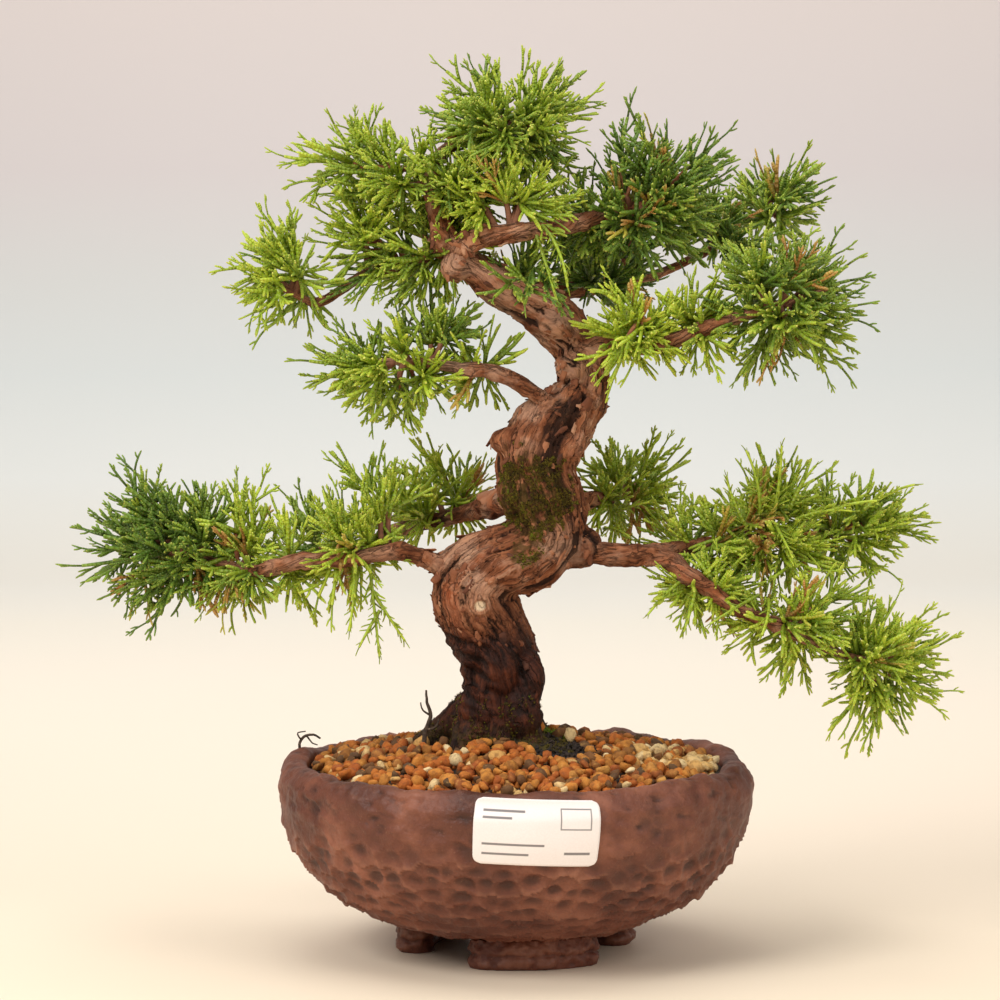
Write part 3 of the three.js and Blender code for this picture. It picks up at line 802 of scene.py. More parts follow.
def makeLabel():
    wide, high, corner = label["width"] / 2, label["height"] / 2, label["corner"]
    columns, rows = 61, 33
    flat, face = [], []
    for v in np.linspace(-1, 1, rows):
        y = v * high
        into = max(0.0, abs(y) - (high - corner))
        reach = wide - corner + math.sqrt(max(0.0, corner**2 - into**2))
        for u in np.linspace(-1, 1, columns):
            flat.append((u * reach, y))
            face.append(((u * reach / wide + 1) / 2, (v + 1) / 2))
    flat, face = np.array(flat), np.array(face)
    tilt = math.radians(label["tilt"])
    x = flat[:, 0] * math.cos(tilt) - flat[:, 1] * math.sin(tilt)
    z = flat[:, 0] * math.sin(tilt) + flat[:, 1] * math.cos(tilt)
    height = label["centre"] + z
    crinkle = lumpy(np.column_stack([x, z, 0 * x]), 0.06, 2, 8.0) * 0.22
    layers = []
    for lift in (0.0, label["thick"]):
        radius = wallRadius(height) + label["proud"] + lift + crinkle
        turn = np.radians(label["turn"] - 90) + x / bowl["belly"]
        layers.append(np.column_stack([radius * np.cos(turn), radius * np.sin(turn), height]))
    count = rows * columns
    points = np.vstack(layers)
    faces = []
    for i in range(rows - 1):
        for j in range(columns - 1):
            a, d = i * columns + j, (i + 1) * columns + j
            faces.append((d, d + 1, a + 1, a))
            faces.append((a + count, a + 1 + count, d + 1 + count, d + count))
    rim = list(range(columns)) + [i * columns + columns - 1 for i in range(1, rows)]
    rim += [(rows - 1) * columns + j for j in range(columns - 2, -1, -1)]
    rim += [i * columns for i in range(rows - 2, 0, -1)]
    for k, a in enumerate(rim):
        b = rim[(k + 1) % len(rim)]
        faces.append((a, b, b + count, a + count))
    made = addMesh("label_paper", points, faces, paper)
    layer = made.data.uv_layers.new(name="face")
    both = np.vstack([face, face])
    order = np.empty(len(made.data.loops), dtype=np.int32)
    made.data.loops.foreach_get("vertex_index", order)
    layer.data.foreach_set("uv", both[order].astype(np.float32).ravel())
    return finish(made, "label_paper", "label")


makeLabel()


def remeshed(made, voxel, smoothing=2):
    mod = made.modifiers.new("remesh", "REMESH")
    mod.mode, mod.voxel_size, mod.use_smooth_shade = "VOXEL", voxel * mm, True
    soft = made.modifiers.new("soften", "SMOOTH")
    soft.factor, soft.iterations = 0.5, smoothing
    return evaluated(made)


feet = {
    "nodes": ("foot_front", "foot_right", "foot_left"),
    "voxel": 0.8,
    "seamHeight": 5.6,  # between two rolls of clay
    "seamHalf": 0.5,
    "lumps": 2.0,
    "grit": 0.8,
}


def makeFeet():
    for node in feet["nodes"]:
        source = frame["nodes"][node]
        made = bpy.data.objects.new(node + "_clay", source.data.copy())
        bpy.context.scene.collection.objects.link(made)
        weld = made.modifiers.new("weld", "WELD")
        weld.merge_threshold = 0.00001
        remeshed(made, feet["voxel"], 3)
        points, normal = corners(made.data), normalsOf(made.data)
        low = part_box(node)[0][2] / mm
        up = points[:, 2] - low
        free = smoothStep(up, 0.2, 2.0)
        toSeam = up - feet["seamHeight"] - 1.6 * lumpy(points, 0.09, 3, 3.0)
        seam = np.exp(-((toSeam / feet["seamHalf"]) ** 2))
        lower, upper = np.clip(up / 5.4, 0, 1), np.clip((up - 5.4) / 5, 0, 1)  # two rolls of clay
        bulge = 0.8 * np.sin(lower * math.pi) + 0.5 * np.sin(upper * math.pi)
        rough = lumpy(points, 0.34, 3, 2.0) * feet["grit"]
        relief = (bulge - seam + lumpy(points, 0.1, 3, 6.0) * feet["lumps"] + rough) * free
        flat = np.column_stack([normal[:, 0], normal[:, 1], 0.25 * normal[:, 2]])
        points = points + flat * relief[:, None]
        points[:, 2] = np.maximum(points[:, 2], low)
        setCorners(made.data, points)
        # relief also sets the clay's painted shade in the hollows and painted highlight on the bulges
        paint(made.data, "relief", np.clip(0.5 + relief / 3, 0, 1))
        made.data.materials.clear()
        made.data.materials.append(clay)
        made.data.shade_smooth()
        finish(made, "clay", node)


makeFeet()
print("label and feet made")


# The tree's wood. Each station is x, y, z and radius on the centre line, in millimetres.

wood = {
    "trunk": [
        (-9, 2, 66, 17), (-8, 2, 76, 20.5), (-7, 2, 87, 18.4), (-6, 1, 102, 15.9), (-7, 0, 119, 15.5),
        (-13, -3, 133, 16.4), (-17, -7, 144, 16.8), (-16, -9, 152, 16), (-6, -9, 158, 15), (6, -6, 162, 15.4),
        (12, -5, 172, 15.8), (10, -8, 184, 16.4), (8, -9, 197, 16.2), (12, -6, 208, 15.4), (21, 0, 217, 12.8),
        (27, 4, 227, 10.8), (26, 6, 240, 10.4), (17, 4, 252, 10.2), (4, 0, 262, 9.4), (-10, -4, 270, 7.8),
        (-22, -6, 280, 5.8), (-29, -5, 290, 4.6), (-33, -2, 304, 3.8), (-32, 2, 317, 3.2), (-19, 6, 328, 2.4),
        (-4, 10, 335, 1.6),
    ],
    "stem_low_left_front": [
        (-18, -7, 147, 8), (-27, -10, 154, 5), (-38, -15, 160, 3.6), (-48, -20, 163, 3.1),
        (-66, -22, 160, 3.1), (-86, -22, 159, 3), (-104, -16, 155, 2.4), (-120, -8, 158, 1.8),
        (-141, -2, 164, 1.4), (-158, 3, 166, 1),
    ],
    "stem_low_left_back": [
        (4, -4, 185, 8), (-5, 5, 181, 5), (-15, 14, 177, 3.7), (-31, 30, 171, 3.2), (-46, 40, 167, 3.4),
        (-58, 44, 160, 3), (-71, 46, 156, 2.2), (-86, 49, 155, 1.4),
    ],
    "stem_mid_left": [
        (23, 0, 210, 8), (17, -6, 218, 5), (10, -11, 223, 3.7), (2, -14, 229, 3.3), (-10, -16, 234, 3.1),
        (-20, -16, 235, 2.5), (-34, -14, 237, 1.8), (-50, -12, 238, 1.4), (-68, -10, 237, 1),
    ],
    "stem_low_right": [
        (6, -5, 162, 11), (17, -5, 161, 7.4), (28, -4, 161, 5.2), (42, -6, 160, 4.2), (56, -8, 160, 4.2),
        (69, -14, 153, 3.3), (85, -20, 142, 2.9), (102, -23, 134, 2.4), (124, -22, 124, 1.7),
        (144, -18, 118, 1),
    ],
    "stem_low_right_fork": [
        (52, -8, 160, 4.4), (60, -2, 161, 3.5), (74, 10, 163, 2.5), (95, 20, 164, 2.1), (116, 26, 165, 1.7),
        (140, 29, 167, 1),
    ],
    "stem_low_rear": [
        (8, -5, 180, 7), (16, 7, 179, 4.4), (34, 32, 180, 2.6), (50, 50, 183, 1.8), (60, 60, 186, 1)
    ],
    "stem_upper_right": [
        (24, 6, 241, 8), (32, -2, 243, 4.8), (40, -9, 244, 3.5), (53, -20, 244, 3.2), (68, -26, 249, 2.8),
        (84, -28, 255, 2.2), (103, -28, 261, 1.7), (122, -26, 267, 1),
    ],
    "stem_crown_right": [
        (-24, -5, 281, 5.5), (-16, -14, 286, 3.9), (0, -20, 289, 3.5), (17, -14, 291, 3.3),
        (33, -2, 295, 2.9), (54, 8, 300, 2), (70, 14, 305, 1.1),
    ],
    "stem_crown_rear": [
        (4, 0, 262, 7), (11, 11, 264, 4.2), (18, 22, 265, 3.2), (35, 40, 266, 2.6), (55, 50, 270, 2.1),
        (76, 56, 279, 1.7), (100, 60, 292, 1.3), (116, 60, 303, 0.9),
    ],
    "stem_upper_left": [
        (-27, -5, 286, 5), (-38, 4, 279, 2.7), (-51, 9, 274, 2.1), (-61, 7, 272, 2), (-70, 2, 266, 2),
        (-80, -2, 261, 1.7), (-90, -4, 266, 1.3), (-99, -4, 274, 0.9),
    ],
}
roots = [
    [(-12, 3, 97, 12), (-24, 4, 91, 8.5), (-36, 6, 84, 5), (-47, 8, 73, 3)],
    [(-2, -2, 93, 11), (6, -11, 84, 6), (12, -18, 77, 4)],
    [(-2, 5, 93, 11), (8, 14, 85, 6.5), (16, 22, 76, 4)],
    [(-12, -2, 93, 12), (-20, -13, 86, 7), (-26, -21, 77, 4)],
    [(-9, 8, 93, 12), (-12, 20, 87, 7.5), (-15, 31, 76, 4)],
]
burls = [  # swellings on the trunk: centre and the three half widths
    ((-24, -13, 152), (9, 8, 7)), ((-14, -18, 146), (9, 6, 8)), ((-2, -20, 156), (10, 6, 7)),
    ((-26, -8, 140), (6, 7, 8)), ((4, -20, 199), (8, 6, 6)), ((-4, -14, 206), (7, 6, 6)),
    ((20, -14, 205), (8, 6, 9)), ((15, -14, 187), (8, 7, 9)), ((26, -4, 163), (9, 8, 8)),
    ((14, -16, 214), (7, 5, 6)), ((-1, -16, 186), (6, 6, 10)), ((24, -7, 222), (6, 5, 7)),
    ((22, -3, 236), (7, 6, 7)), ((14, -7, 252), (7, 5, 5)), ((-6, -14, 118), (8, 5, 13)),
    ((6, -10, 110), (6, 6, 13)), ((-17, -10, 126), (7, 7, 11)), ((-24, -10, 275), (6, 6, 6)),
    ((12, -18, 172), (8, 5, 7)), ((-30, -8, 287), (4.6, 5, 6)), ((2, -12, 97), (9, 6, 11)),
    ((-15, -10, 99), (9, 7, 11)),
]
cutStub = {"place": (-14.2, -25.2, 141.5), "radius": 2.5}
trunkMoss = [  # centre, half widths, where it starts to thin and where it ends, and strength
    ((6, -24, 186), (19, 16, 16), (1.15, 0.8), 1.0),
    ((5, -22, 166), (9, 13, 13), (1.1, 0.6), 0.9),
]
palePlaces = [((-20, -18, 156), (20, 22, 12)), ((18, -16, 160), (14, 20, 13))]  # sunlit bends
trunkLook = {
    "voxel": 0.72,
    "plate": 1.3,  # depth of the bark's cracks
    "groove": 0.9,
    "twist": 0.16,  # turns of the grain for each 100 mm
    # below this the bark is darker: damp bark and painted shade
    "dampShadeBelow": 137.0,
}


def limbMesh(name, parts):  # overlapping closed pieces in one mesh, for remeshing
    points, faces = [], []
    for some, sides in parts:
        first = sum(len(p) for p in points)
        points.append(some)
        faces += [tuple(first + k for k in face) for face in sides]
    return addMesh(name, np.vstack(points), faces, bark)


def ballPart(centre, half, rings=10, sides=14):
    line = np.array([[0, 0, -math.cos(k / rings * math.pi)] for k in range(1, rings)])
    radii = np.array([math.sin(k / rings * math.pi) for k in range(1, rings)])
    points, faces = sweep(line, radii, sides)
    points[-2], points[-1] = (0, 0, -1), (0, 0, 1)
    return points * half + centre, faces


def grainOf(points, line, along):  # where each point lies on a limb: along, round, and out from its line
    ahead, across, over = framesAlong(line)
    tree = KDTree(len(line))
    for k, p in enumerate(line):
        tree.insert(p, k)
    tree.balance()
    near = np.array([tree.find(p)[1] for p in points])
    away = points - line[near]
    s = along[near] + np.einsum("ij,ij->i", away, ahead[near])
    turn = np.arctan2(np.einsum("ij,ij->i", away, over[near]), np.einsum("ij,ij->i", away, across[near]))
    return near, s, turn


def barkRelief(points, s, turn, radius, plate, groove, twist, seed=0.0):
    spiral = turn + s / 100 * tau * twist
    grain = np.column_stack([radius * np.cos(spiral), radius * np.sin(spiral), s * 0.17])
    grain = grain + 0.9 * np.column_stack([lumpy(points, 0.12, 2, seed + k * 7.0) for k in range(3)])
    long = lumpy(grain, 0.14, 2, 5.0 + seed)
    layer = 1.5 * lumpy(grain * (1, 1, 0.9), 0.17, 3, 15.0 + seed)  # bark peeling in steps
    steps = np.floor(layer * 2) + smoothStep(layer * 2 - np.floor(layer * 2), 0.3, 0.55)
    split = lumpy(grain, 0.2, 3, 45.0 + seed)
    crack = np.exp(-((split / 0.07) ** 2)) * smoothStep(lumpy(points, 0.06, 2, 55.0 + seed), -0.45, 0.1)
    breaks = lumpy(grain * (0.45, 0.45, 2.4), 0.28, 2, 65.0 + seed)
    crack = np.maximum(crack, 0.7 * np.exp(-((breaks / 0.05) ** 2)) * smoothStep(long, -0.1, 0.3))
    fine = lumpy(grain * (0.8, 0.8, 0.9), 0.8, 4, 25.0 + seed)
    relief = groove * (0.8 * long + 0.55 * steps - 0.1) + 0.35 * fine * groove - plate * crack
    return relief, grain


def makeTrunk():
    line, along = splineThrough(wood["trunk"], 1.2)
    parts = [sweep(line[:, :3], line[:, 3], 20)]
    for stations in roots:
        rootLine, _ = splineThrough(stations, 2.0)
        parts.append(sweep(rootLine[:, :3], rootLine[:, 3], 14))
    parts += [ballPart(centre, half) for centre, half in burls]
    for name, stations in wood.items():  # collars where the stems leave
        if name not in ("trunk", "stem_low_right_fork"):
            stemLine, _ = splineThrough(stations[:3], 1.5)
            parts.append(sweep(stemLine[:, :3], stemLine[:, 3] * 1.04, 14))
    made = limbMesh("trunk_bark", parts)
    remeshed(made, trunkLook["voxel"], 7)
    points, normal = corners(made.data), normalsOf(made.data)
    centre = line[:, :3]
    near, s, turn = grainOf(points, centre, along)
    radius = line[near, 3]
    relief, grain = barkRelief(
        points, s, turn, radius, trunkLook["plate"], trunkLook["groove"], trunkLook["twist"]
    )
    slim = smoothStep(radius, 2.5, 12) * 0.85 + 0.15
    relief *= slim
    low = smoothStep(points[:, 2], 150, 134)
    relief *= 1 - 0.35 * low
    lumps = lumpy(points, 0.085, 2, 8.0) * 1.3 * slim * (1 - 0.5 * low)
    # rings of old wire scars low on the trunk
    band = points[:, 2] + 0.35 * points[:, 0] + 2 * lumpy(points, 0.1, 2, 3.0)
    scars = smoothStep(points[:, 2], 96, 104) * smoothStep(points[:, 2], 136, 126)
    relief += scars * smoothStep(points[:, 0], -4, -14) * 0.55 * np.sin(band * tau / 5.2)
    # a clean oval where a branch was cut
    toCut = np.linalg.norm((points - cutStub["place"]) * (1, 0.5, 1.15), axis=1)
    cut = smoothStep(toCut, cutStub["radius"] + 0.3, cutStub["radius"] - 0.5)
    collar = np.exp(-(((toCut - cutStub["radius"] - 1.2) / 1.0) ** 2))
    relief = relief * (1 - cut) + collar * 0.9
    points = points + normal * (relief + lumps)[:, None]
    setCorners(made.data, points)
    made.data.shade_smooth()
    # the bark darkens below about 140 mm, damp bark and painted shade under the overhanging shoulder; shaded
    # adds painted shade on the right side of the trunk below about 175 mm
    height = points[:, 2] + 6 * lumpy(points, 0.05, 3, 40.0)
    wet = smoothStep(height, trunkLook["dampShadeBelow"] + 5, trunkLook["dampShadeBelow"] - 12)
    shaded = smoothStep(points[:, 0] + 0.5 * points[:, 2], 92, 100) * smoothStep(points[:, 2], 178, 168)
    wet = np.clip(wet + 0.25 * shaded, 0, 1)
    ragged = 0.45 * lumpy(points, 0.13, 3, 61.0)
    moss = smoothStep(points[:, 2], 96, 86) * 0.7
    for middle, half, edge, strength in trunkMoss:
        grown = smoothStep(np.linalg.norm((points - middle) / half, axis=1) + ragged, *edge)
        moss = np.maximum(moss, grown * strength)
    pale = smoothStep(points[:, 2], 196, 215) * 0.85
    for middle, half in palePlaces:
        pale += 1.3 * np.exp(-(((points - middle) / half) ** 2).sum(1))
    paint(made.data, "pale", np.clip(pale, 0, 1))
    # relief also sets the bark's painted shade in the cracks and painted highlight on the raised plates
    paint(made.data, "relief", np.clip(0.5 + relief / 3.4, 0, 1))
    paint(made.data, "grain", grain * (0.25, 0.25, 0.28))
    paint(made.data, "wet", wet)
    paint(made.data, "mossy", moss)
    paint(made.data, "cut", cut)
    return finish(made, "bark", "trunk"), line


trunkPiece, trunkLine = makeTrunk()
print("trunk made")


stemLook = {"plate": 0.55, "groove": 0.55, "twist": 0.8}
paleStems = ("stem_mid_left", "stem_low_left_back")


def makeStem(name):
    line, along = splineThrough(wood[name], 0.9)
    sides = 26
    radii = line[:, 3] * (1 + 0.05 * np.sin(along / 5.5 + len(name)))
    points, faces = sweep(line[:, :3], radii, sides)
    near = np.append(np.repeat(np.arange(len(line)), sides), [0, len(line) - 1])
    turn = np.append(np.tile(np.linspace(0, tau, sides, endpoint=False), len(line)), [0, 0])
    size = radii[near]
    share = np.clip(size / 5, 0.12, 1)
    relief, grain = barkRelief(
        points, along[near], turn, np.maximum(size, 2.2), *stemLook.values(), float(len(name))
    )
    out = points - line[near, :3]
    length = np.linalg.norm(out, axis=1)[:, None]
    knots = np.clip(lumpy(points, 0.13, 2, 3.0), 0, 1) * size * 0.55
    points = points + out / np.maximum(length, 0.01) * (relief * share + knots)[:, None]
    zero = np.zeros(len(points))
    values = {
        # relief also sets the bark's painted shade in the cracks and painted highlight on the raised plates
        "relief": np.clip(0.56 + relief / 3.0, 0, 1),
        "pale": zero + (1.0 if name in paleStems else 0.55),
        "grain": grain * (0.3, 0.3, 0.4),
        "wet": zero + 0.05,
        "mossy": zero,
        "cut": zero,
    }
    made = addMesh(name + "_bark", points, faces, bark, values)
    return finish(made, "bark", name)


for name in wood:
    if name != "trunk":
        makeStem(name)
print("stems made")


# Geometry trees. Each has named inputs for its sizes, which a modifier sets by the socket's identifier.


def newGrowth(name, sizes):
    made = bpy.data.node_groups.new(name, "GeometryNodeTree")
    made.interface.new_socket("Geometry", in_out="INPUT", socket_type="NodeSocketGeometry")
    for title, kind, value in sizes:
        item = made.interface.new_socket(title, in_out="INPUT", socket_type="NodeSocket" + kind)
        if value is not None:
            item.default_value = value
    made.interface.new_socket("Geometry", in_out="OUTPUT", socket_type="NodeSocketGeometry")
    tree = Tree(made)
    return tree, tree.node("NodeGroupInput", output="Geometry")


def grow(made, tree, values):
    mod = made.modifiers.new("growth", "NODES")
    mod.node_group = tree.made
    known = {i.name: i.identifier for i in tree.made.interface.items_tree if i.in_out == "INPUT"}
    for title, value in values.items():
        mod[known[title]] = value
    return evaluated(made)


def stored(tree, shape, name, value, domain="POINT", kind="FLOAT"):
    settings = {"data_type": kind, "domain": domain}
    return tree.node(
        "GeometryNodeStoreNamedAttribute", settings, {"Geometry": shape, "Name": name, "Value": value}
    )


def named(tree, name, kind="FLOAT"):
    return tree.node("GeometryNodeInputNamedAttribute", {"data_type": kind}, {"Name": name}, "Attribute")


def chance(tree, low, high, seed):
    return tree.node(
        "FunctionNodeRandomValue", {"data_type": "FLOAT"}, {"Min": low, "Max": high, "Seed": seed}, "Value"
    )


def turned(tree, rotation, x=0.0, y=0.0, z=0.0):  # a further turn about the instance's own axes
    by = tree.node("FunctionNodeEulerToRotation", {}, [tree.xyz(x, y, z)])
    return tree.node(
        "FunctionNodeRotateRotation", {"rotation_space": "LOCAL"}, {"Rotation": rotation, "Rotate By": by}
    )


def ended(tree, shape, cover, smooth=True):  # the last steps of each tree
    shape = tree.node("GeometryNodeRealizeInstances", {}, {"Geometry": shape})
    if smooth:
        shape = tree.node("GeometryNodeSetShadeSmooth", {}, {"Geometry": shape})
    shape = tree.node("GeometryNodeSetMaterial", {}, {"Geometry": shape, "Material": cover})
    tree.node("NodeGroupOutput", {}, {"Geometry": shape})
    return tree


def setOn(tree, points, collection, last, seed, turn, size):  # one of a collection's shapes at each point
    apart = {"Collection": collection, "Separate Children": True, "Reset Children": True}
    kinds = tree.node("GeometryNodeCollectionInfo", {}, apart)
    among = {"Min": 0, "Max": last, "Seed": seed}
    pick = tree.node("FunctionNodeRandomValue", {"data_type": "INT"}, among, "Value")
    values = {"Points": points, "Instance": kinds, "Pick Instance": True, "Instance Index": pick}
    return tree.node("GeometryNodeInstanceOnPoints", {}, {**values, "Rotation": turn, "Scale": size})


def tubeAlong(tree, curve, ring):  # as thick as each line says
    values = {"Curve": curve, "Profile Curve": ring, "Scale": named(tree, "thick"), "Fill Caps": True}
    return tree.node("GeometryNodeCurveToMesh", {}, values)


def sprayGrowth():  # a cord along each line, with sprigs set along it on alternate sides
    tree, given = newGrowth(
        "sprays",
        [
            ("Spacing", "Float", 0.003),
            ("Sprig Size", "Float", 1.0),
            ("Spread", "Float", 0.8),
            ("Tuft", "Float", 0.6),
            ("Seed", "Int", 1),
            ("Sprigs", "Collection", None),
            ("Leaf", "Material", None),
        ],
    )
    seed = given.other("Seed")
    curve = tree.node("GeometryNodeMeshToCurve", {}, {"Mesh": given})
    curve = tree.node("GeometryNodeSetCurveTilt", {}, {"Curve": curve, "Tilt": named(tree, "roll")})
    share = tree.node("GeometryNodeSplineParameter", {}, {}, "Factor")
    curve = stored(tree, curve, "along", share)
    curve = stored(tree, curve, "rise", share * 0.7 + 0.08)
    along, tone = named(tree, "along"), named(tree, "tone")

    stepped = {"Curve": curve, "Length": given.other("Spacing")}
    points = tree.node("GeometryNodeCurveToPoints", {"mode": "LENGTH"}, stepped, "Points")
    upright = tree.node(
        "FunctionNodeAxesToRotation",
        {"primary_axis": "Z", "secondary_axis": "X"},
        {"Primary Axis": points.other("Tangent"), "Secondary Axis": points.other("Normal")},
    )
    index = tree.node("GeometryNodeInputIndex")
    sides = tree.maths("MODULO", index, 2.0) * math.pi
    rolled = turned(tree, upright, z=sides + chance(tree, -1.0, 1.0, seed) * given.other("Tuft"))
    lean = given.other("Spread") * (1.0 - along * along * 0.8) + chance(tree, -0.16, 0.16, seed + 3.0)
    leaning = turned(tree, rolled, y=lean)
    size = given.other("Sprig Size") * (1.12 - along * 0.5) * chance(tree, 0.75, 1.2, seed + 7.0)
    points = stored(tree, points, "tone", tone + chance(tree, -0.05, 0.05, seed + 11.0))
    last = len(sprig["kinds"]) - 1
    sprigs = setOn(tree, points, given.other("Sprigs"), last, seed + 5.0, leaning, tree.xyz(size, size, size))
    sprigs = tree.node("GeometryNodeRealizeInstances", {}, {"Geometry": sprigs})

    ring = tree.node("GeometryNodeCurvePrimitiveCircle", {}, {"Resolution": 5, "Radius": 1.0}, "Curve")
    ring = stored(tree, ring, "side", tree.maths("COSINE", share * tau))
    whole = tree.node("GeometryNodeJoinGeometry", {}, {"Geometry": [sprigs, tubeAlong(tree, curve, ring)]})
    across = (tone + named(tree, "side") * 0.012).held()
    whole = stored(tree, whole, "OFBake", tree.xyz(across, named(tree, "rise")), "CORNER", "FLOAT2")
    return ended(tree, whole, given.other("Leaf"))


def twigGrowth():  # a tapering round twig along each line
    tree, given = newGrowth("twigs", [("Sides", "Int", 6), ("Wood", "Material", None)])
    curve = tree.node("GeometryNodeMeshToCurve", {}, {"Mesh": given})
    circle = {"Resolution": given.other("Sides"), "Radius": 1.0}
    ring = tree.node("GeometryNodeCurvePrimitiveCircle", {}, circle, "Curve")
    return ended(tree, tubeAlong(tree, curve, ring), given.other("Wood"))


# Sprigs: a cord that forks a few times in one plane, in six kinds, and plain needles for young shoots.

sprig = {
    "radius": 0.86,
    "forkRadius": 0.74,
    "kinds": [  # length, bend, and forks: where, length, side
        (17.0, 0.12, [(0.58, 6.5, 1)]),
        (18.0, -0.08, [(0.34, 8.5, 1), (0.56, 6.0, -1), (0.77, 3.6, 1)]),
        (16.0, 0.2, [(0.6, 5.4, -1)]),
        (19.0, 0.06, [(0.42, 7.5, -1), (0.68, 5.0, 1)]),
        (14.0, -0.15, [(0.22, 4.6, 1), (0.36, 4.4, -1), (0.5, 4.0, 1), (0.64, 3.4, -1), (0.8, 2.4, 1)]),
        (20.0, -0.2, [(0.48, 6.6, 1), (0.72, 5.0, -1)]),
    ],
    "angle": (0.5, 0.72),
}


def sprigMesh(name, seed, length, bend, forks, radius, forkRadius, sides=4):
    rng = random.Random(seed)
    out = rng.uniform(-0.08, 0.08)

    def spine(t):
        return np.array([bend * length * t * t, out * length * t * t, length * t])

    def cord(line, radii, first, last):
        points, faces = sweep(np.array(line), np.array(radii), sides)
        rise = np.append(np.repeat(np.linspace(first, last, len(line)), sides), [first, 1.0])
        side = np.append(np.tile(np.cos(np.arange(sides) / sides * tau), len(line)), [0.0, 0.0])
        return points, faces, rise, side

    line = [spine(t) for t in (0.0, 0.35, 0.7, 0.93, 1.0)]
    parts = [cord(line, [radius * k for k in (0.9, 1.0, 0.92, 0.78, 0.4)], 0.1, 0.95)]
    for where, reach, hand in forks:
        angle, lift = rng.uniform(*sprig["angle"]), rng.uniform(-0.3, 0.3)
        start = spine(where)
        middle = start + np.array([hand * math.sin(angle), lift, math.cos(angle)]) * reach * 0.5
        way = np.array([hand * math.sin(angle * 0.5), lift * 0.5, math.cos(angle * 0.5)])
        tip = middle + way * reach * 0.5
        near = tip + (middle - tip) * 0.18
        thick = [forkRadius * k for k in (0.9, 1.0, 0.8, 0.4)]
        parts.append(cord([start, middle, near, tip], thick, 0.25 + 0.45 * where, 0.97))
    points, faces, rise, side = [], [], [], []
    for some, skin, up, across in parts:
        first = sum(len(p) for p in points)
        points.append(some)
        faces += [tuple(first + k for k in face) for face in skin]
        rise.append(up)
        side.append(across)
    values = {"rise": np.concatenate(rise), "side": np.concatenate(side)}
    made = addMesh(name, np.vstack(points), faces, leafGreen, values)
    bpy.context.scene.collection.objects.unlink(made)
    return made


sprigKinds = bpy.data.collections.new("sprigKinds")
for k, (length, bend, forks) in enumerate(sprig["kinds"]):
    sprigKinds.objects.link(
        sprigMesh("sprigKind" + str(k), 100 + k, length, bend, forks, sprig["radius"], sprig["forkRadius"])
    )
needleKinds = bpy.data.collections.new("needleKinds")
for k, bend in enumerate((0.1, -0.12)):
    needleKinds.objects.link(sprigMesh("needleKind" + str(k), 200 + k, 12.0, bend, [], 0.95, 0.6, 3))
sprays, twigs = sprayGrowth(), twigGrowth()

# The leaf clouds. Each has pads of fronds: place, half widths, how many, and how light they are.

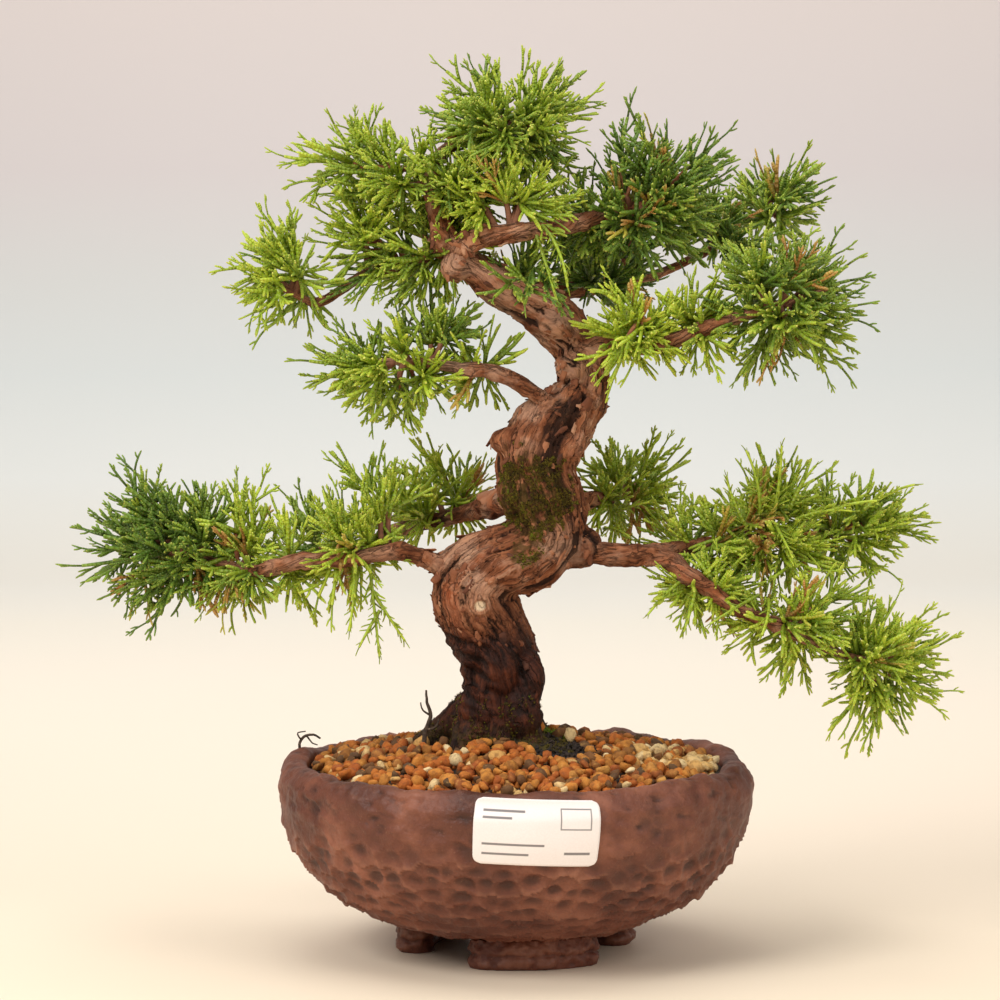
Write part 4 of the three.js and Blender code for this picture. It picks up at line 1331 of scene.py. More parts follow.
clouds = {
    "leaves_low_left_tip": {
        "stem": "stem_low_left_front", "tuft": 0.9, "heart": (-122, 0, 164),
        "pads": [((-150, 0, 166), (30, 25, 33), 58, 0.14), ((-131, -4, 166), (18, 20, 25), 20, 0.3)],
        "reach": [
            (-178, 0, 172), (-176, -6, 162), (-172, 4, 178), (-152, -4, 202), (-141, 0, 198), (-157, 6, 136),
            (-170, -4, 148), (-146, -6, 134),
        ],
    },
    "leaves_low_left_mid": {
        "stem": "stem_low_left_front", "tuft": 0.7,
        "pads": [((-112, -10, 164), (22, 22, 28), 26, 0.5), ((-92, -12, 158), (18, 18, 22), 16, 0.7)],
        "reach": [(-128, -14, 134), (-118, -16, 130), (-104, -16, 134), (-112, 0, 196), (-98, -4, 194)],
    },
    "leaves_low_left_inner": {
        "stem": "stem_low_left_front", "tuft": 0.5,
        "pads": [((-70, -18, 168), (22, 20, 26), 28, 0.62), ((-58, -6, 186), (18, 16, 18), 12, 0.55)],
        "reach": [(-70, -4, 204), (-60, 0, 200), (-82, -20, 138), (-66, -22, 140), (-74, -24, 134)],
    },
    "leaves_low_left_rear": {
        "stem": "stem_low_left_back", "tuft": 0.7, "pads": [((-84, 42, 168), (28, 22, 22), 22, 0.35)]
    },
    "leaves_low_back_left": {
        "stem": "stem_low_left_back", "tuft": 0.6,
        "pads": [((-27, 40, 182), (24, 22, 22), 28, 0.62), ((-46, 24, 178), (16, 18, 16), 12, 0.6)],
        "reach": [(-40, 10, 206), (-32, 12, 204), (-44, 8, 196)],
    },
    "leaves_low_back_right": {
        "stem": "stem_low_rear", "tuft": 0.6,
        "pads": [((49, 46, 181), (26, 24, 23), 38, 0.6), ((66, 26, 168), (16, 18, 14), 12, 0.7)],
        "reach": [(30, 34, 206), (56, 30, 208), (72, 34, 200)],
    },
    "leaves_mid_left": {
        "stem": "stem_mid_left", "tuft": 0.7,
        "pads": [((-54, -10, 236), (34, 24, 22), 48, 0.52), ((-20, -8, 236), (18, 18, 16), 14, 0.5)],
        "reach": [(-90, -12, 240), (-88, -8, 232), (-58, -14, 208), (-44, -12, 210)],
    },
    "leaves_upper_left_tip": {
        "stem": "stem_upper_left", "tuft": 0.8, "heart": (-78, -4, 272),
        "pads": [((-97, -4, 274), (19, 20, 24), 34, 0.55)],
        "reach": [(-113, -4, 266), (-108, -8, 250), (-102, -2, 292), (-90, 0, 298), (-112, -2, 274)],
    },
    "leaves_upper_left": {
        "stem": "stem_upper_left", "tuft": 0.7,
        "pads": [
            ((-46, 4, 284), (36, 26, 26), 54, 0.5), ((-34, -6, 258), (22, 20, 14), 14, 0.4),
            ((-64, 0, 300), (18, 18, 14), 12, 0.62),
        ],
        "reach": [(-76, -10, 262), (-66, -12, 256), (-82, -8, 290)],
    },
    "leaves_crown_top": {
        "stem": "trunk", "tuft": 0.8,
        "pads": [
            ((0, 2, 330), (40, 31, 26), 74, 0.46), ((-24, -14, 312), (20, 16, 14), 16, 0.5),
            ((-62, 0, 316), (30, 26, 22), 36, 0.56), ((-26, 8, 306), (34, 26, 18), 34, 0.4),
        ],
        "reach": [
            (-100, -4, 321), (-88, -2, 326), (-90, 0, 308), (-76, -4, 338), (-66, 0, 340), (-34, 0, 358),
            (-22, 2, 360), (-12, 0, 361), (4, 4, 361), (14, 0, 358), (26, 2, 352), (35, 0, 346),
            (30, -6, 336),
        ],
    },
    "leaves_crown_front": {
        "stem": "stem_crown_right", "tuft": 0.7,
        "pads": [((-6, -14, 306), (34, 22, 15), 36, 0.62), ((8, 2, 280), (24, 20, 10), 14, 0.3)],
        "reach": [(-12, -48, 262), (2, -50, 258), (14, -46, 262), (6, -44, 266)],
    },
    "leaves_crown_right": {
        "stem": "stem_crown_right", "tuft": 0.9, "heart": (46, 0, 290),
        "pads": [
            ((60, 2, 305), (32, 28, 32), 66, 0.2), ((30, 14, 296), (20, 22, 22), 22, 0.22),
            ((44, 20, 272), (26, 22, 14), 20, 0.08),
        ],
        "reach": [(44, -4, 340), (52, 0, 336), (60, -2, 334), (34, 2, 330), (88, -4, 318), (80, -10, 326)],
    },
    "leaves_crown_rear": {
        "stem": "stem_crown_rear", "tuft": 0.9,
        "pads": [((38, 58, 290), (38, 24, 24), 40, 0.2), ((82, 40, 296), (20, 22, 18), 20, 0.24)],
    },
    "leaves_crown_far_right": {
        "stem": "stem_crown_rear", "tuft": 0.9,
        "pads": [((110, 54, 303), (24, 22, 19), 34, 0.4), ((92, 30, 290), (20, 20, 16), 16, 0.2)],
        "reach": [(132, 50, 306), (114, 50, 322), (126, 50, 316)],
    },
    "leaves_upper_right_tip": {
        "stem": "stem_upper_right", "tuft": 1.2, "heart": (98, -22, 260),
        "pads": [((108, -24, 263), (33, 30, 32), 84, 0.36)],
        "reach": [
            (142, -24, 252), (138, -22, 264), (134, -24, 230), (126, -28, 228), (136, -20, 282),
            (128, -22, 290), (94, -30, 232), (84, -28, 226),
        ],
    },
    "leaves_upper_right_inner": {
        "stem": "stem_upper_right", "tuft": 0.7,
        "pads": [((50, -24, 256), (24, 20, 18), 26, 0.78), ((76, -20, 256), (20, 20, 20), 22, 0.6)],
        "reach": [(28, -36, 232), (36, -40, 226), (42, -34, 230), (30, -30, 270), (60, -24, 236)],
    },
    "leaves_low_right_back": {
        "stem": "stem_low_right_fork", "tuft": 0.6,
        "pads": [
            ((108, 20, 180), (32, 26, 22), 44, 0.66), ((142, 20, 170), (28, 24, 22), 32, 0.56),
            ((84, 6, 166), (24, 20, 18), 18, 0.62),
        ],
        "reach": [
            (105, 10, 202), (92, 12, 196), (118, 10, 198), (160, 14, 186), (150, 12, 190), (168, 16, 164),
            (170, 14, 172), (68, 8, 186),
        ],
    },
    "leaves_low_right_front": {
        "stem": "stem_low_right", "tuft": 0.7,
        "pads": [
            ((82, -8, 146), (26, 22, 18), 26, 0.66), ((118, -14, 138), (32, 26, 24), 44, 0.6),
            ((148, -16, 120), (27, 24, 29), 50, 0.6), ((112, -4, 160), (34, 22, 14), 26, 0.64),
        ],
        "reach": [
            (52, -6, 152), (58, -8, 144), (104, -20, 104), (98, -18, 110), (122, -20, 88), (140, -20, 80),
            (132, -18, 84), (176, -14, 128), (170, -16, 138), (168, -18, 102), (172, -12, 114),
            (156, -20, 90),
        ],
    },
}
frond = {
    "length": (24.0, 36.0),
    "thick": 0.84,
    "up": 0.14,
    "step": 3.0,
    "spacing": 6.1,
    "share": 0.8,  # how many of each pad's fronds are grown
    "lean": 0.55,  # how far fronds turn the way their branch grows
    "spread": 0.72,
    "sprig": 0.86,
}
woodLines = {name: splineThrough(stations, 2.0)[0][:, :3] for name, stations in wood.items()}


def curved(start, middle, end, count):
    t = np.linspace(0, 1, count)[:, None]
    return (1 - t) ** 2 * np.asarray(start) + 2 * t * (1 - t) * np.asarray(middle) + t**2 * np.asarray(end)


class Lines:  # polylines with a number or two at each point, ready to be a mesh of edges
    def __init__(self):
        self.points, self.edges, self.values = [], [], {}

    def add(self, line, **values):
        first = len(self.points)
        self.points += list(line)
        self.edges += [(first + k, first + k + 1) for k in range(len(line) - 1)]
        for key, numbers in values.items():
            self.values.setdefault(key, []).extend(np.broadcast_to(numbers, len(line)))

    def mesh(self, name):
        return addObject(name, self.points, self.edges, [], self.values)


def unit(v):
    return v / max(1e-6, np.linalg.norm(v))


def padTips(centre, half, count, rng):
    k = np.arange(count) + 0.5
    polar, turn = np.arccos(1 - 2 * k / count), k * math.pi * (1 + 5**0.5) + rng.uniform(0, tau)
    out = np.column_stack([np.cos(turn) * np.sin(polar), np.sin(turn) * np.sin(polar), np.cos(polar)])
    out += rng.normal(0, 0.18, out.shape)
    out /= np.linalg.norm(out, axis=1)[:, None]
    depth = np.where(rng.random(count) < 0.7, rng.uniform(0.78, 1.04, count), rng.uniform(0.4, 0.78, count))
    depth = np.where(rng.random(count) < 0.12, rng.uniform(1.1, 1.28, count), depth)
    return centre + out * half * depth[:, None], depth


def growPad(leafLines, twigLines, tips, inner, centre, half, heart, tone, rng):
    lean = frond["lean"] * unit(unit(centre * (1, 1, 0)) + (0, 0, 0.55))
    anchors = woodAll[np.linalg.norm((woodAll - centre) / half, axis=1) < 0.95]
    if not len(anchors):
        anchors = woodAll[np.argsort(np.linalg.norm(woodAll - centre, axis=1))[:3]]
    hubs = max(2, len(tips) // 6)
    means = tips[rng.permutation(len(tips))[:hubs]]
    for _ in range(5):
        owner = np.argmin(((tips[:, None] - means[None]) ** 2).sum(2), axis=1)
        means = np.array([tips[owner == h].mean(0) if (owner == h).any() else means[h] for h in range(hubs)])
    for h in range(hubs):
        mine = np.flatnonzero(owner == h)
        if not len(mine):
            continue
        goal = heart + 0.45 * (means[h] - heart)
        anchor = anchors[np.argmin(np.linalg.norm(anchors - (heart + 0.25 * (means[h] - heart)), axis=1))]
        hub = anchor + 0.55 * (goal - anchor) + rng.normal(0, 1.5, 3)
        span = np.linalg.norm(hub - anchor)
        sag = rng.normal(0, 0.12, 3) * span + (0, 0, -0.08 * span)
        line = curved(anchor, (anchor + hub) / 2 + sag, hub, 7)
        twigLines.add(line, thick=np.linspace(1.6, 1.1, 7) * mm, age=0.8)
        for k in mine:
            growFrond(leafLines, twigLines, hub, tips[k], heart, inner[k], tone, rng, lean)


def growFrond(leafLines, twigLines, hub, tip, heart, inner, tone, rng, lean=0.0):
    way = tip - hub
    distance = np.linalg.norm(way)
    heading = unit(unit(way) + 0.4 * unit(tip - heart) + np.array([0, 0, frond["up"]]) + lean)
    middle = tip - heading * distance * 0.5 + rng.normal(0, 0.06, 3) * distance
    line = curved(hub, middle, tip, max(4, round(distance / frond["step"]) + 1))
    green = rng.uniform(*frond["length"])
    steps = np.concatenate([[0], np.cumsum(np.linalg.norm(np.diff(line, axis=0), axis=1))])
    bare = max(0.0, steps[-1] - green)
    many = max(4, round((steps[-1] - bare) / frond["step"]) + 1)
    even = np.linspace(bare, max(bare + 4, steps[-1] - 8), many)
    leafy = np.column_stack([np.interp(even, steps, line[:, i]) for i in range(3)])
    if bare > 1.5:
        even = np.linspace(0, bare + 2.5, max(3, round(bare / 3) + 1))
        woody = np.column_stack([np.interp(even, steps, line[:, i]) for i in range(3)])
        twigLines.add(woody, thick=np.linspace(1.05, 0.75, len(woody)) * mm, age=0.3)
    tone = np.clip(tone + rng.normal(0, 0.1), 0.03, 0.84)
    if rng.random() < (0.13 if inner else 0.02):
        tone = 0.93
    roll = rng.uniform(-math.pi, math.pi)
    taper = np.linspace(frond["thick"] * 1.1, frond["thick"] * 0.8, len(leafy)) * mm
    leafLines.add(leafy, thick=taper, tone=tone, roll=roll)
    ahead = unit(leafy[-1] - leafy[0])
    aside = unit(np.cross(ahead, rng.normal(0, 1, 3)))
    share = rng.uniform(0.1, 0.35)
    start = leafy[int(share * (len(leafy) - 1))]
    reach = green * rng.uniform(0.3, 0.48)
    first, second = unit(ahead * 0.8 + aside * 0.75), unit(ahead + aside * 0.35 + np.array([0, 0, 0.15]))
    end = start + first * reach * 0.5 + second * reach * 0.5
    side = curved(start, start + first * reach * 0.5, end, max(3, round(reach / frond["step"])))
    taper = np.linspace(frond["thick"], frond["thick"] * 0.8, len(side)) * mm
    leafLines.add(side, thick=taper, tone=tone, roll=roll)


def sprayed(lines, name, ending, look, tuft, seed, kinds):  # sprigs set along a cloud's lines
    made = lines.mesh(name + ending)
    values = {"Spacing": look["spacing"] * mm, "Sprig Size": look["sprig"], "Spread": look["spread"]}
    values |= {"Tuft": tuft, "Seed": seed, "Sprigs": kinds, "Leaf": leafGreen}
    grow(made, sprays, values)
    return finish(made, "foliage", name)


def growCloud(name, spec, seed, twigLines):
    rng = np.random.default_rng(seed)
    leafLines = Lines()
    for n, (centre, half, count, tone) in enumerate(spec["pads"]):
        centre, half = np.array(centre, float), np.array(half, float)
        tips, depth = padTips(centre, half, round(count * frond["share"]), rng)
        inward = unit(centre * (1, 1, 0)) * half * 0.42  # fronds fan out from a place nearer the trunk
        heart = np.array(spec["heart"], float) if "heart" in spec and n == 0 else centre - inward - (0, 0, 3)
        growPad(leafLines, twigLines, tips, depth < 0.78, centre, half, heart, tone, rng)
    for tip in spec.get("reach", []):
        tip = np.array(tip, float)
        pad = min(spec["pads"], key=lambda each: np.linalg.norm((tip - each[0]) / each[1]))
        heart = np.array(pad[0], float)
        hub = tip + (heart - tip) * min(1.0, 30 / np.linalg.norm(heart - tip))
        growFrond(leafLines, twigLines, hub, tip, heart, False, pad[3], rng)
    return sprayed(leafLines, name, "_sprays", frond, spec["tuft"], seed, sprigKinds)


shoots = {  # young needle shoots: which cloud they belong to, and start, middle and end of each
    "leaves_low_left_inner": [
        ((-58, -22, 158), (-57, -26, 148), (-54, -28, 122)),
        ((-58, -24, 150), (-52, -28, 140), (-44, -26, 128)),
        ((-62, -20, 158), (-64, -26, 146), (-66, -28, 132)),
        ((-54, -26, 140), (-58, -30, 134), (-62, -32, 126)),
    ],
    "leaves_low_back_right": [
        ((34, 30, 176), (38, 22, 184), (44, 16, 190)),
        ((40, 30, 174), (46, 20, 178), (54, 12, 180)),
        ((36, 26, 168), (40, 14, 170), (46, 8, 166)),
    ],
    "leaves_low_right_back": [
        ((98, 0, 176), (98, -4, 190), (92, -4, 202)),
        ((104, 0, 178), (106, -4, 192), (106, -6, 204)),
        ((110, 0, 178), (114, -4, 190), (120, -4, 196)),
        ((112, -2, 174), (124, -8, 180), (134, -8, 178)),
        ((118, -2, 174), (132, -8, 182), (144, -8, 182)),
        ((104, -4, 172), (106, -14, 168), (110, -18, 160)),
        ((140, 2, 178), (150, 0, 186), (160, 0, 188)),
        ((92, -2, 172), (86, -8, 182), (84, -8, 192)),
    ],
    "leaves_low_right_front": [
        ((68, -12, 152), (60, -22, 148), (52, -24, 138)),
        ((72, -14, 150), (70, -26, 142), (66, -30, 132)),
        ((96, -24, 146), (86, -34, 142), (76, -38, 136)),
        ((100, -22, 144), (100, -36, 140), (96, -42, 132)),
    ],
    "leaves_crown_front": [
        ((10, -26, 292), (18, -34, 284), (20, -36, 268)),
        ((8, -24, 288), (12, -32, 276), (16, -34, 262)),
    ],
}


needle = {"spacing": 1.25, "sprig": 0.42, "spread": 0.95, "tuft": 1.0}


def growShoots(name, lines, seed):
    rng = np.random.default_rng(seed)
    leafLines = Lines()
    for start, middle, end in lines:
        line = curved(start, middle, end, 12)
        tone, roll = rng.uniform(0.55, 0.8), rng.uniform(-math.pi, math.pi)
        leafLines.add(line, thick=np.linspace(0.8, 0.5, 12) * mm, tone=tone, roll=roll)
    return sprayed(leafLines, name, "_shoots", needle, needle["tuft"], seed, needleKinds)


def growLeaves():
    twigLines = {}
    for k, (name, spec) in enumerate(clouds.items()):
        made = growCloud(name, spec, 500 + k, twigLines.setdefault(spec["stem"], Lines()))
        print(name, len(made.data.polygons))
    for k, (name, lines) in enumerate(shoots.items()):
        growShoots(name, lines, 600 + k)
    for stem, lines in twigLines.items():
        made = lines.mesh(stem + "_twigs")
        grow(made, twigs, {"Sides": 6, "Wood": twigBark})
        finish(made, "bark")


woodAll = np.vstack(list(woodLines.values()))
growLeaves()
print("leaves made")


# The ground in the bowl: dark soil, gravel over it, and moss round the trunk.


def scatterGrowth():  # one of a few small shapes at each point
    sizes = [
        ("Kinds", "Collection", None),
        ("Kind Count", "Int", 1),
        ("Cover", "Material", None),
        ("Seed", "Int", 1),
    ]
    tree, given = newGrowth("scatter", sizes)
    last = given.other("Kind Count") - 1.0
    turn = tree.node("FunctionNodeEulerToRotation", {}, [named(tree, "turn", "FLOAT_VECTOR")])
    size = named(tree, "size", "FLOAT_VECTOR")
    shapes = setOn(tree, given, given.other("Kinds"), last, given.other("Seed"), turn, size)
    return ended(tree, shapes, given.other("Cover"), smooth=False)


scatter = scatterGrowth()


def scattered(name, points, turns, sizes, tints, kinds, cover, seed):
    made = addObject(name, points, [], [], {"turn": turns, "size": sizes, "tint": tints})
    values = {"Kinds": kinds, "Kind Count": len(kinds.objects), "Cover": cover, "Seed": seed}
    return grow(made, scatter, values)


def kindCollection(name, shapes):
    kinds = bpy.data.collections.new(name)
    for k, (points, faces, material) in enumerate(shapes):
        made = addMesh(name + str(k), points, faces, material)
        bpy.context.scene.collection.objects.unlink(made)
        kinds.objects.link(made)
    return kinds


def pebble(kind, sections=5, around=8):  # a rough rounded lump about 1 mm across
    rng = np.random.default_rng(900 + kind)
    points, faces = ballPart((0, 0, 0), 1.0, sections, around)
    planes = rng.normal(0, 1, (9, 3))
    planes /= np.linalg.norm(planes, axis=1)[:, None]
    for plane in planes:  # flats struck off it
        over = np.clip(points @ plane - rng.uniform(0.5, 0.8), 0, None)
        points = points - over[:, None] * plane * 0.9
    points = points * (1 + 0.13 * lumpy(points, 0.9, 2, kind * 3.0))[:, None]
    return points * (1.0, rng.uniform(0.78, 0.98), rng.uniform(0.62, 0.85)) * 0.5, faces, gravelClay


def tuft(kind, blades=8):  # a star of short pointed blades
    rng = np.random.default_rng(700 + kind)
    points, faces = [], []
    for k in range(blades):
        turn, lean = tau * (k + rng.uniform(0, 0.6)) / blades, rng.uniform(0.15, 1.1)
        out = math.sin(lean)
        tip = np.array([math.cos(turn) * out, math.sin(turn) * out, math.cos(lean)])
        tip *= rng.uniform(0.6, 1.1)
        foot = tip * (0.2, 0.2, 0.0)
        across = np.array([-math.sin(turn), math.cos(turn), 0]) * 0.11
        ahead = np.array([math.cos(turn), math.sin(turn), 0]) * 0.1
        first = len(points)
        points += [foot + across, foot - across, foot - ahead, tip]
        sides = ((0, 2, 1), (0, 1, 3), (1, 2, 3), (2, 0, 3))
        faces += [tuple(first + corner for corner in side) for side in sides]
    return np.array(points), faces, mossGreen


pebbles = kindCollection("pebbleKinds", [pebble(k) for k in range(8)])
tufts = kindCollection("tuftKinds", [tuft(k) for k in range(5)])

ground = {
    "crown": 87.0,
    "drop": 13.0,
    "reach": 83.5,
    "below": 64.0,  # underside of the gravel's bed
    "collar": (-1.0, 2.0, 29.0, 4.0),  # x, y, radius, rise
    "freshMoss": (17, 6),
    "pitch": 4.7,  # gravel spacing
    "stone": (4.2, 9.6),
}
patches = [  # where dark soil shows: place and half widths
    ((17, -16), (18, 24)),
    ((-18, -2), (17, 14)),
    ((4, -14), (13, 9)),
    ((-27, 2), (14, 12)),
    ((84, 22), (10, 26)),
    ((-2, 24), (30, 24)),
    ((38, 30), (22, 18)),
]
paleGravel = ((64, -8), (22, 30))


def level(x, y):
    return np.column_stack([x, y, 0 * x])


def groundHeight(x, y):
    r = np.hypot(x, y)
    top = ground["crown"] - ground["drop"] * np.clip(r / ground["reach"], 0, 1) ** 1.2
    cx, cy, reach, rise = ground["collar"]
    return top + rise * 0.55 * smoothStep(np.hypot(x - cx, y - cy), reach, reach * 0.4)


def within(x, y, places, wobble):  # how far inside any of the patches, with an uneven edge
    best = np.full(np.shape(x), -9.0)
    for (px, py), (wide, deep) in places:
        best = np.maximum(best, 1 - np.hypot((x - px) / wide, (y - py) / deep))
    return best + wobble


def makeBed():
    rings, columns = 60, 150
    points = []
    for i in range(rings):
        r = 0.4 + (ground["reach"] - 0.6) * i / (rings - 1)
        for j in range(columns):
            turn = tau * j / columns
            points.append((r * math.cos(turn), r * math.sin(turn), 0))
    points = np.array(points)
    points[:, 2] = groundHeight(points[:, 0], points[:, 1]) - 1.6
    points[:, 2] += 0.9 * lumpy(points, 0.35, 4, 12.0)
    under = points[-columns:] * (1, 1, 0) + (0, 0, ground["below"])
    middles = (0, 0, points[:columns, 2].mean()), (0, 0, ground["below"])
    made = addMesh("gravel_bed", *discOf(points, rings, columns, under, *middles), soilDark)
    return finish(made, "akadama", "gravel_topping")


def makeGravel():
    rng = np.random.default_rng(3)
    places = []
    for layer, lift in enumerate((-1.2, 1.3)):
        step = ground["pitch"] * (1.0 if layer == 0 else 1.08)
        rows = int(ground["reach"] / (step * 0.866)) + 1
        for i in range(-rows, rows + 1):
            for j in range(-rows - 4, rows + 5):
                x = (j + 0.5 * (i % 2)) * step + rng.uniform(-0.42, 0.42) * step
                y = i * step * 0.866 + rng.uniform(-0.42, 0.42) * step
                places.append((x, y, lift + rng.uniform(-0.9, 0.9), rng.random()))
    places = np.array(places)
    x, y = places[:, 0], places[:, 1]
    wobble = 0.28 * lumpy(level(x, y), 0.11, 3, 2.0)
    bare = within(x, y, patches, wobble) > 0.08 + 0.8 * places[:, 3] * (places[:, 3] < 0.5)
    size = ground["stone"][0] + (ground["stone"][1] - ground["stone"][0]) * rng.beta(1.5, 2.8, len(x))
    onTop = places[:, 2] > 0
    keep = ~bare & (np.hypot(x, y) < ground["reach"] - size * 0.45 - 0.4)
    keep &= ~((rng.random(len(x)) < 0.22) & onTop)
    places, size, x, y = places[keep], size[keep], x[keep], y[keep]
    z = groundHeight(x, y) + places[:, 2]
    rock = [rng.normal(0, 0.6, len(x)) for _ in range(2)]
    turns = np.column_stack([*rock, rng.uniform(0, tau, len(x))])
    tint = np.clip(rng.normal(0.42, 0.16, len(x)), 0.14, 0.82)
    odd = rng.random(len(x))
    tint = np.where(odd < 0.13, rng.uniform(0, 0.12, len(x)), tint)
    tint = np.where(odd > 0.92, rng.uniform(0.86, 1.0, len(x)), tint)
    pale = within(x, y, [paleGravel], 0.3 * lumpy(level(x, y), 0.1, 2, 7.0)) > 0.22
    tint = np.where(pale & (rng.random(len(x)) < 0.78), rng.uniform(0.84, 1.0, len(x)), tint)
    sizes = np.column_stack([size, size, size])
    points = np.column_stack([x, y, z])
    made = scattered("gravel_stones", points, turns, sizes, tint, pebbles, gravelClay, 5)
    return finish(made, "akadama", "gravel_topping")


crumb = {"tried": 9000, "most": 1700, "size": (0.9, 2.6)}


def makeCrumbs():  # dark soil crumbs in the bare patches
    rng = np.random.default_rng(8)
    x, y = rng.uniform(-84, 84, (2, crumb["tried"]))
    wobble = 0.28 * lumpy(level(x, y), 0.11, 3, 2.0)
    keep = (within(x, y, patches, wobble) > -0.05) & (np.hypot(x, y) < ground["reach"] - 1.4)
    x, y = x[keep][: crumb["most"]], y[keep][: crumb["most"]]
    size = rng.uniform(*crumb["size"], len(x))
    points = np.column_stack([x, y, groundHeight(x, y) - 1.0 + rng.uniform(-0.4, 0.9, len(x))])
    turns = rng.uniform(0, tau, (len(x), 3))
    made = scattered("soil_crumbs", points, turns, size[:, None] * (1, 1, 1), x * 0, pebbles, soilDark, 9)
    return finish(made, "soil", "gravel_topping")


def upright(normals, spins):  # turns that stand a shape on a slope
    turns = []
    for n, spin in zip(normals, spins):
        stand = Vector(n).to_track_quat("Z", "Y")
        turns.append(tuple((stand @ Quaternion((0, 0, 1), spin)).to_euler()))
    return np.array(turns)


moss = {"collar": 1500, "trunk": 1500, "low": 700}  # most tufts on the mound, the trunk and its foot


def makeCollar():
    rng = np.random.default_rng(12)
    cx, cy, reach, _ = ground["collar"]
    rings, columns = 26, 72
    grid = []
    for i in range(rings):
        for j in range(columns):
            r, turn = 0.5 + reach * i / (rings - 1), tau * j / columns
            grid.append((cx + r * math.cos(turn), cy + r * math.sin(turn), 0))
    grid = np.array(grid)
    edge = smoothStep(np.hypot(grid[:, 0] - cx, grid[:, 1] - cy), reach, reach * 0.72)
    rough = lumpy(grid, 0.22, 4, 31.0)
    grid[:, 2] = groundHeight(grid[:, 0], grid[:, 1]) - 3.4 + 2.6 * edge + 1.3 * edge * rough
    under = grid[-columns:] - (0, 0, 3)
    middles = (cx, cy, grid[:columns, 2].mean()), (cx, cy, under[:, 2].mean())
    points, faces = discOf(grid, rings, columns, under, *middles)
    mound = addMesh("moss_mound", points, faces, mossGreen, {"tint": np.full(len(points), 0.12)})
    finish(mound, "moss", "moss_collar")
    many = moss["collar"]
    turn, r = rng.uniform(0, tau, many), (reach + 3) * np.sqrt(rng.random(many))
    x, y = cx + r * np.cos(turn), cy + r * np.sin(turn)
    patch = lumpy(level(x, y), 0.13, 3, 19.0)
    keep = patch > -0.12
    freshX, freshY = ground["freshMoss"]
    keep |= np.hypot(x - freshX, y - freshY) < 8
    x, y = x[keep], y[keep]
    fresh = smoothStep(np.hypot(x - freshX, y - freshY), 9, 5)
    size = rng.uniform(1.1, 2.1, len(x)) * (1 + 1.1 * fresh)
    points = np.column_stack([x, y, groundHeight(x, y) - 0.9])
    lean = np.column_stack([rng.normal(0, 0.35, len(x)), rng.normal(0, 0.35, len(x)), np.ones(len(x))])
    turns = upright(lean, rng.uniform(0, tau, len(x)))
    tints = np.clip(rng.normal(0.2, 0.16, len(x)) + 0.95 * fresh, 0, 1.3)
    made = scattered("moss_tufts", points, turns, size[:, None] * (1, 1, 1), tints, tufts, mossGreen, 2)
    return finish(made, "moss", "moss_collar")


def makeTrunkMoss():
    rng = np.random.default_rng(15)
    mesh = trunkPiece.data
    points, normals = corners(mesh), normalsOf(mesh)
    share = np.empty(len(points), np.float32)
    mesh.attributes["mossy"].data.foreach_get("value", share)
    uneven = lumpy(points, 0.16, 3, 51.0)
    high = (points[:, 2] > 100) & (normals[:, 1] < 0.5)
    chosen = np.flatnonzero((share * (0.75 + uneven) > 0.5) & high)
    low = np.flatnonzero((points[:, 2] < 104) & (points[:, 2] > 84) & (uneven > 0.0))
    chosen = rng.choice(chosen, min(moss["trunk"], len(chosen)), False)
    low = rng.choice(low, min(moss["low"], len(low)), False)
    chosen = np.concatenate([chosen, low])
    at, way = points[chosen], normals[chosen]
    way = way + rng.normal(0, 0.3, way.shape)
    size = rng.uniform(0.7, 1.35, len(at)) * 1.1
    tints = 0.4 + 0.35 * uneven[chosen] + 0.2 * smoothStep(at[:, 2], 178, 166) + rng.normal(0, 0.18, len(at))
    tints = np.clip(tints - 0.35 * smoothStep(at[:, 2], 110, 100), 0, 1.0)
    turns, sizes = upright(way, rng.uniform(0, tau, len(at))), size[:, None] * (1, 1, 1)
    made = scattered("trunk_tufts", at, turns, sizes, tints, tufts, mossGreen, 4)
    return finish(made, "moss", "trunk_moss")


def flake(kind, steps=5):  # a thin strip of bark that lifts and curls at one end, about 1 mm long
    rng = np.random.default_rng(300 + kind)
    wide, curl, lift = rng.uniform(0.34, 0.62), rng.uniform(0.25, 0.5), rng.uniform(0.04, 0.16)
    points = []
    for i in range(steps):
        t = i / (steps - 1)
        half = wide * (0.6 + 0.4 * math.sin(t * math.pi)) * rng.uniform(0.7, 1.15) / 2
        z = lift * t**2
        for y, down in ((-1, curl), (0, 0), (1, curl)):
            points.append((t - 0.35, y * half, z - down * half * abs(y)))
    upper = np.array(points)
    lower = upper - (0, 0, 0.06)
    faces = []
    for i in range(steps - 1):
        for j in range(2):
            a, b = i * 3 + j, i * 3 + j + 1
            faces.append((a, a + 3, b + 3, b))
            faces.append((a + 3 * steps, b + 3 * steps, b + 3 + 3 * steps, a + 3 + 3 * steps))
        for j in (0, 2):
            a = i * 3 + j
            edge = (a, a + 3 * steps, a + 3 + 3 * steps, a + 3)
            faces.append(edge if j == 0 else tuple(reversed(edge)))
    for i in (0, steps - 1):
        for j in range(2):
            a = i * 3 + j
            edge = (a, a + 1, a + 1 + 3 * steps, a + 3 * steps)
            faces.append(edge if i == 0 else tuple(reversed(edge)))
    return np.vstack([upper, lower]), faces, flakeBark


flakes = kindCollection("flakeKinds", [flake(k) for k in range(6)])


loose = {"count": 620, "low": 118, "high": 300, "long": (3.5, 8.5)}


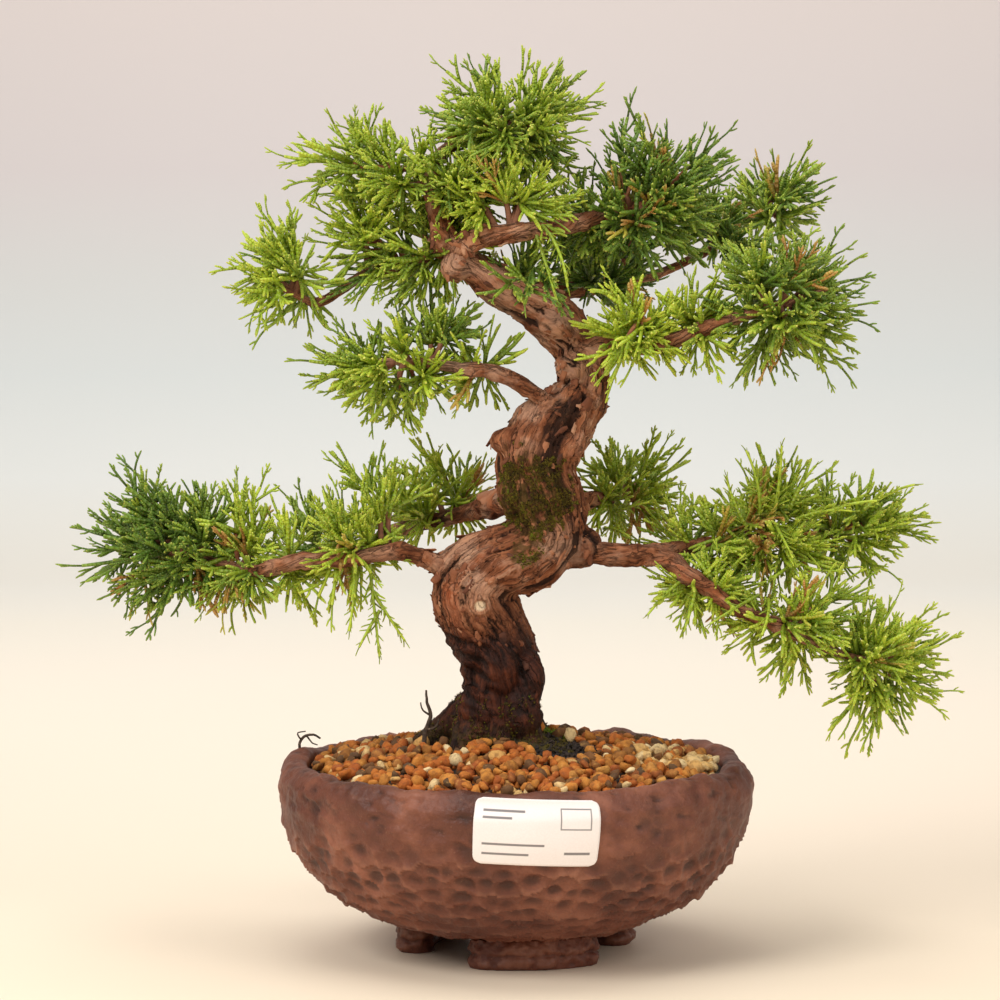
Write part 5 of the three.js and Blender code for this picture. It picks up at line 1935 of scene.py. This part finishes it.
def makeFlakes():  # loose bark over the drier part of the trunk
    rng = np.random.default_rng(21)
    mesh = trunkPiece.data
    points, normals = corners(mesh), normalsOf(mesh)
    centre = trunkLine[:, :3]
    ahead = framesAlong(centre)[0]
    above = np.flatnonzero((points[:, 2] > loose["low"]) & (points[:, 2] < loose["high"]))
    chosen = rng.choice(above, loose["count"], False)
    toCut = np.linalg.norm((points[chosen] - cutStub["place"]) * (1, 0.4, 1), axis=1)
    mossy = np.linalg.norm((points[chosen] - (6, -24, 187)) / (19, 16, 17), axis=1) < 0.9
    chosen = chosen[(toCut > 6) & ~mossy]
    near = np.array([np.argmin(((centre - p) ** 2).sum(1)) for p in points[chosen]])
    turns = []
    for k, n in zip(near, normals[chosen]):
        z = Vector(n).normalized()
        along = Vector(ahead[k]) * rng.choice((-1, 1)) + Vector(rng.normal(0, 0.22, 3))
        y = z.cross(along).normalized()
        x = y.cross(z)
        tip = rng.uniform(-0.04, 0.12)
        turns.append(tuple((Matrix((x, y, z)).transposed() @ Matrix.Rotation(-tip, 3, "Y")).to_euler()))
    size = rng.uniform(*loose["long"], len(chosen))
    sizes = np.column_stack([size, size * rng.uniform(0.7, 1.1, len(chosen)), size * 0.8])
    # flakes darken below about 140 mm, matching the damp bark and painted shade low on the trunk
    tints = np.clip(rng.normal(0.5, 0.22, len(chosen)) - 0.35 * smoothStep(points[chosen, 2], 142, 126), 0, 1)
    at = points[chosen] - normals[chosen] * 0.12
    made = scattered("bark_flakes", at, turns, sizes, tints, flakes, flakeBark, 6)
    return finish(made, "bark", "trunk")


deadLines = {
    "dead_twig": [
        [
            (-37, -9, 80, 1.0), (-36.4, -9, 89, 0.95), (-34.2, -9.4, 96, 0.8), (-35.6, -8.6, 101, 0.62),
            (-36, -8, 106, 0.4),
        ],
        [(-34.3, -9.4, 96, 0.5), (-37.5, -10.5, 98.5, 0.35), (-38.2, -11, 101.5, 0.25)],
        [(-35.8, -9, 90, 0.6), (-32.2, -11, 91.5, 0.45), (-30.8, -11, 95, 0.3)],
    ],
    "dry_strand": [
        [
            (-87, 13.8, 77.2, 0.7), (-88, 13.9, 80.5, 0.6), (-86.6, 13.7, 83.8, 0.6), (-82.4, 13, 85.2, 0.5),
            (-79.4, 12.4, 83.6, 0.4),
        ],
        [(-87.3, 13.8, 82.8, 0.4), (-88.6, 12, 85.8, 0.3), (-85.4, 12.6, 86.6, 0.25)],
        [(-85.2, 13.4, 84.8, 0.4), (-83, 15, 81.6, 0.3), (-80.6, 14.4, 80.6, 0.25)],
    ],
}


def makeDeadWood(name):
    lines = Lines()
    for stations in deadLines[name]:
        line, _ = splineThrough(stations, 0.8)
        rough = 0.18 * np.column_stack([lumpy(line[:, :3], 0.5, 2, k * 9.0) for k in range(3)])
        lines.add(line[:, :3] + rough, thick=line[:, 3] * mm, age=1.0)
    made = lines.mesh(name + "_wood")
    grow(made, twigs, {"Sides": 7, "Wood": deadWood})
    return finish(made, "dead_wood", name)


inSight = {"potting_soil": soilDark, "drain_screen": netPlastic, "screen_clip": bareWire}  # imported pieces

makeBed()
makeGravel()
makeCrumbs()
makeCollar()
makeTrunkMoss()
makeFlakes()
for name in deadLines:
    makeDeadWood(name)
for name, material in inSight.items():
    for slot in frame["nodes"][name].material_slots:
        slot.material = material
print("ground made")
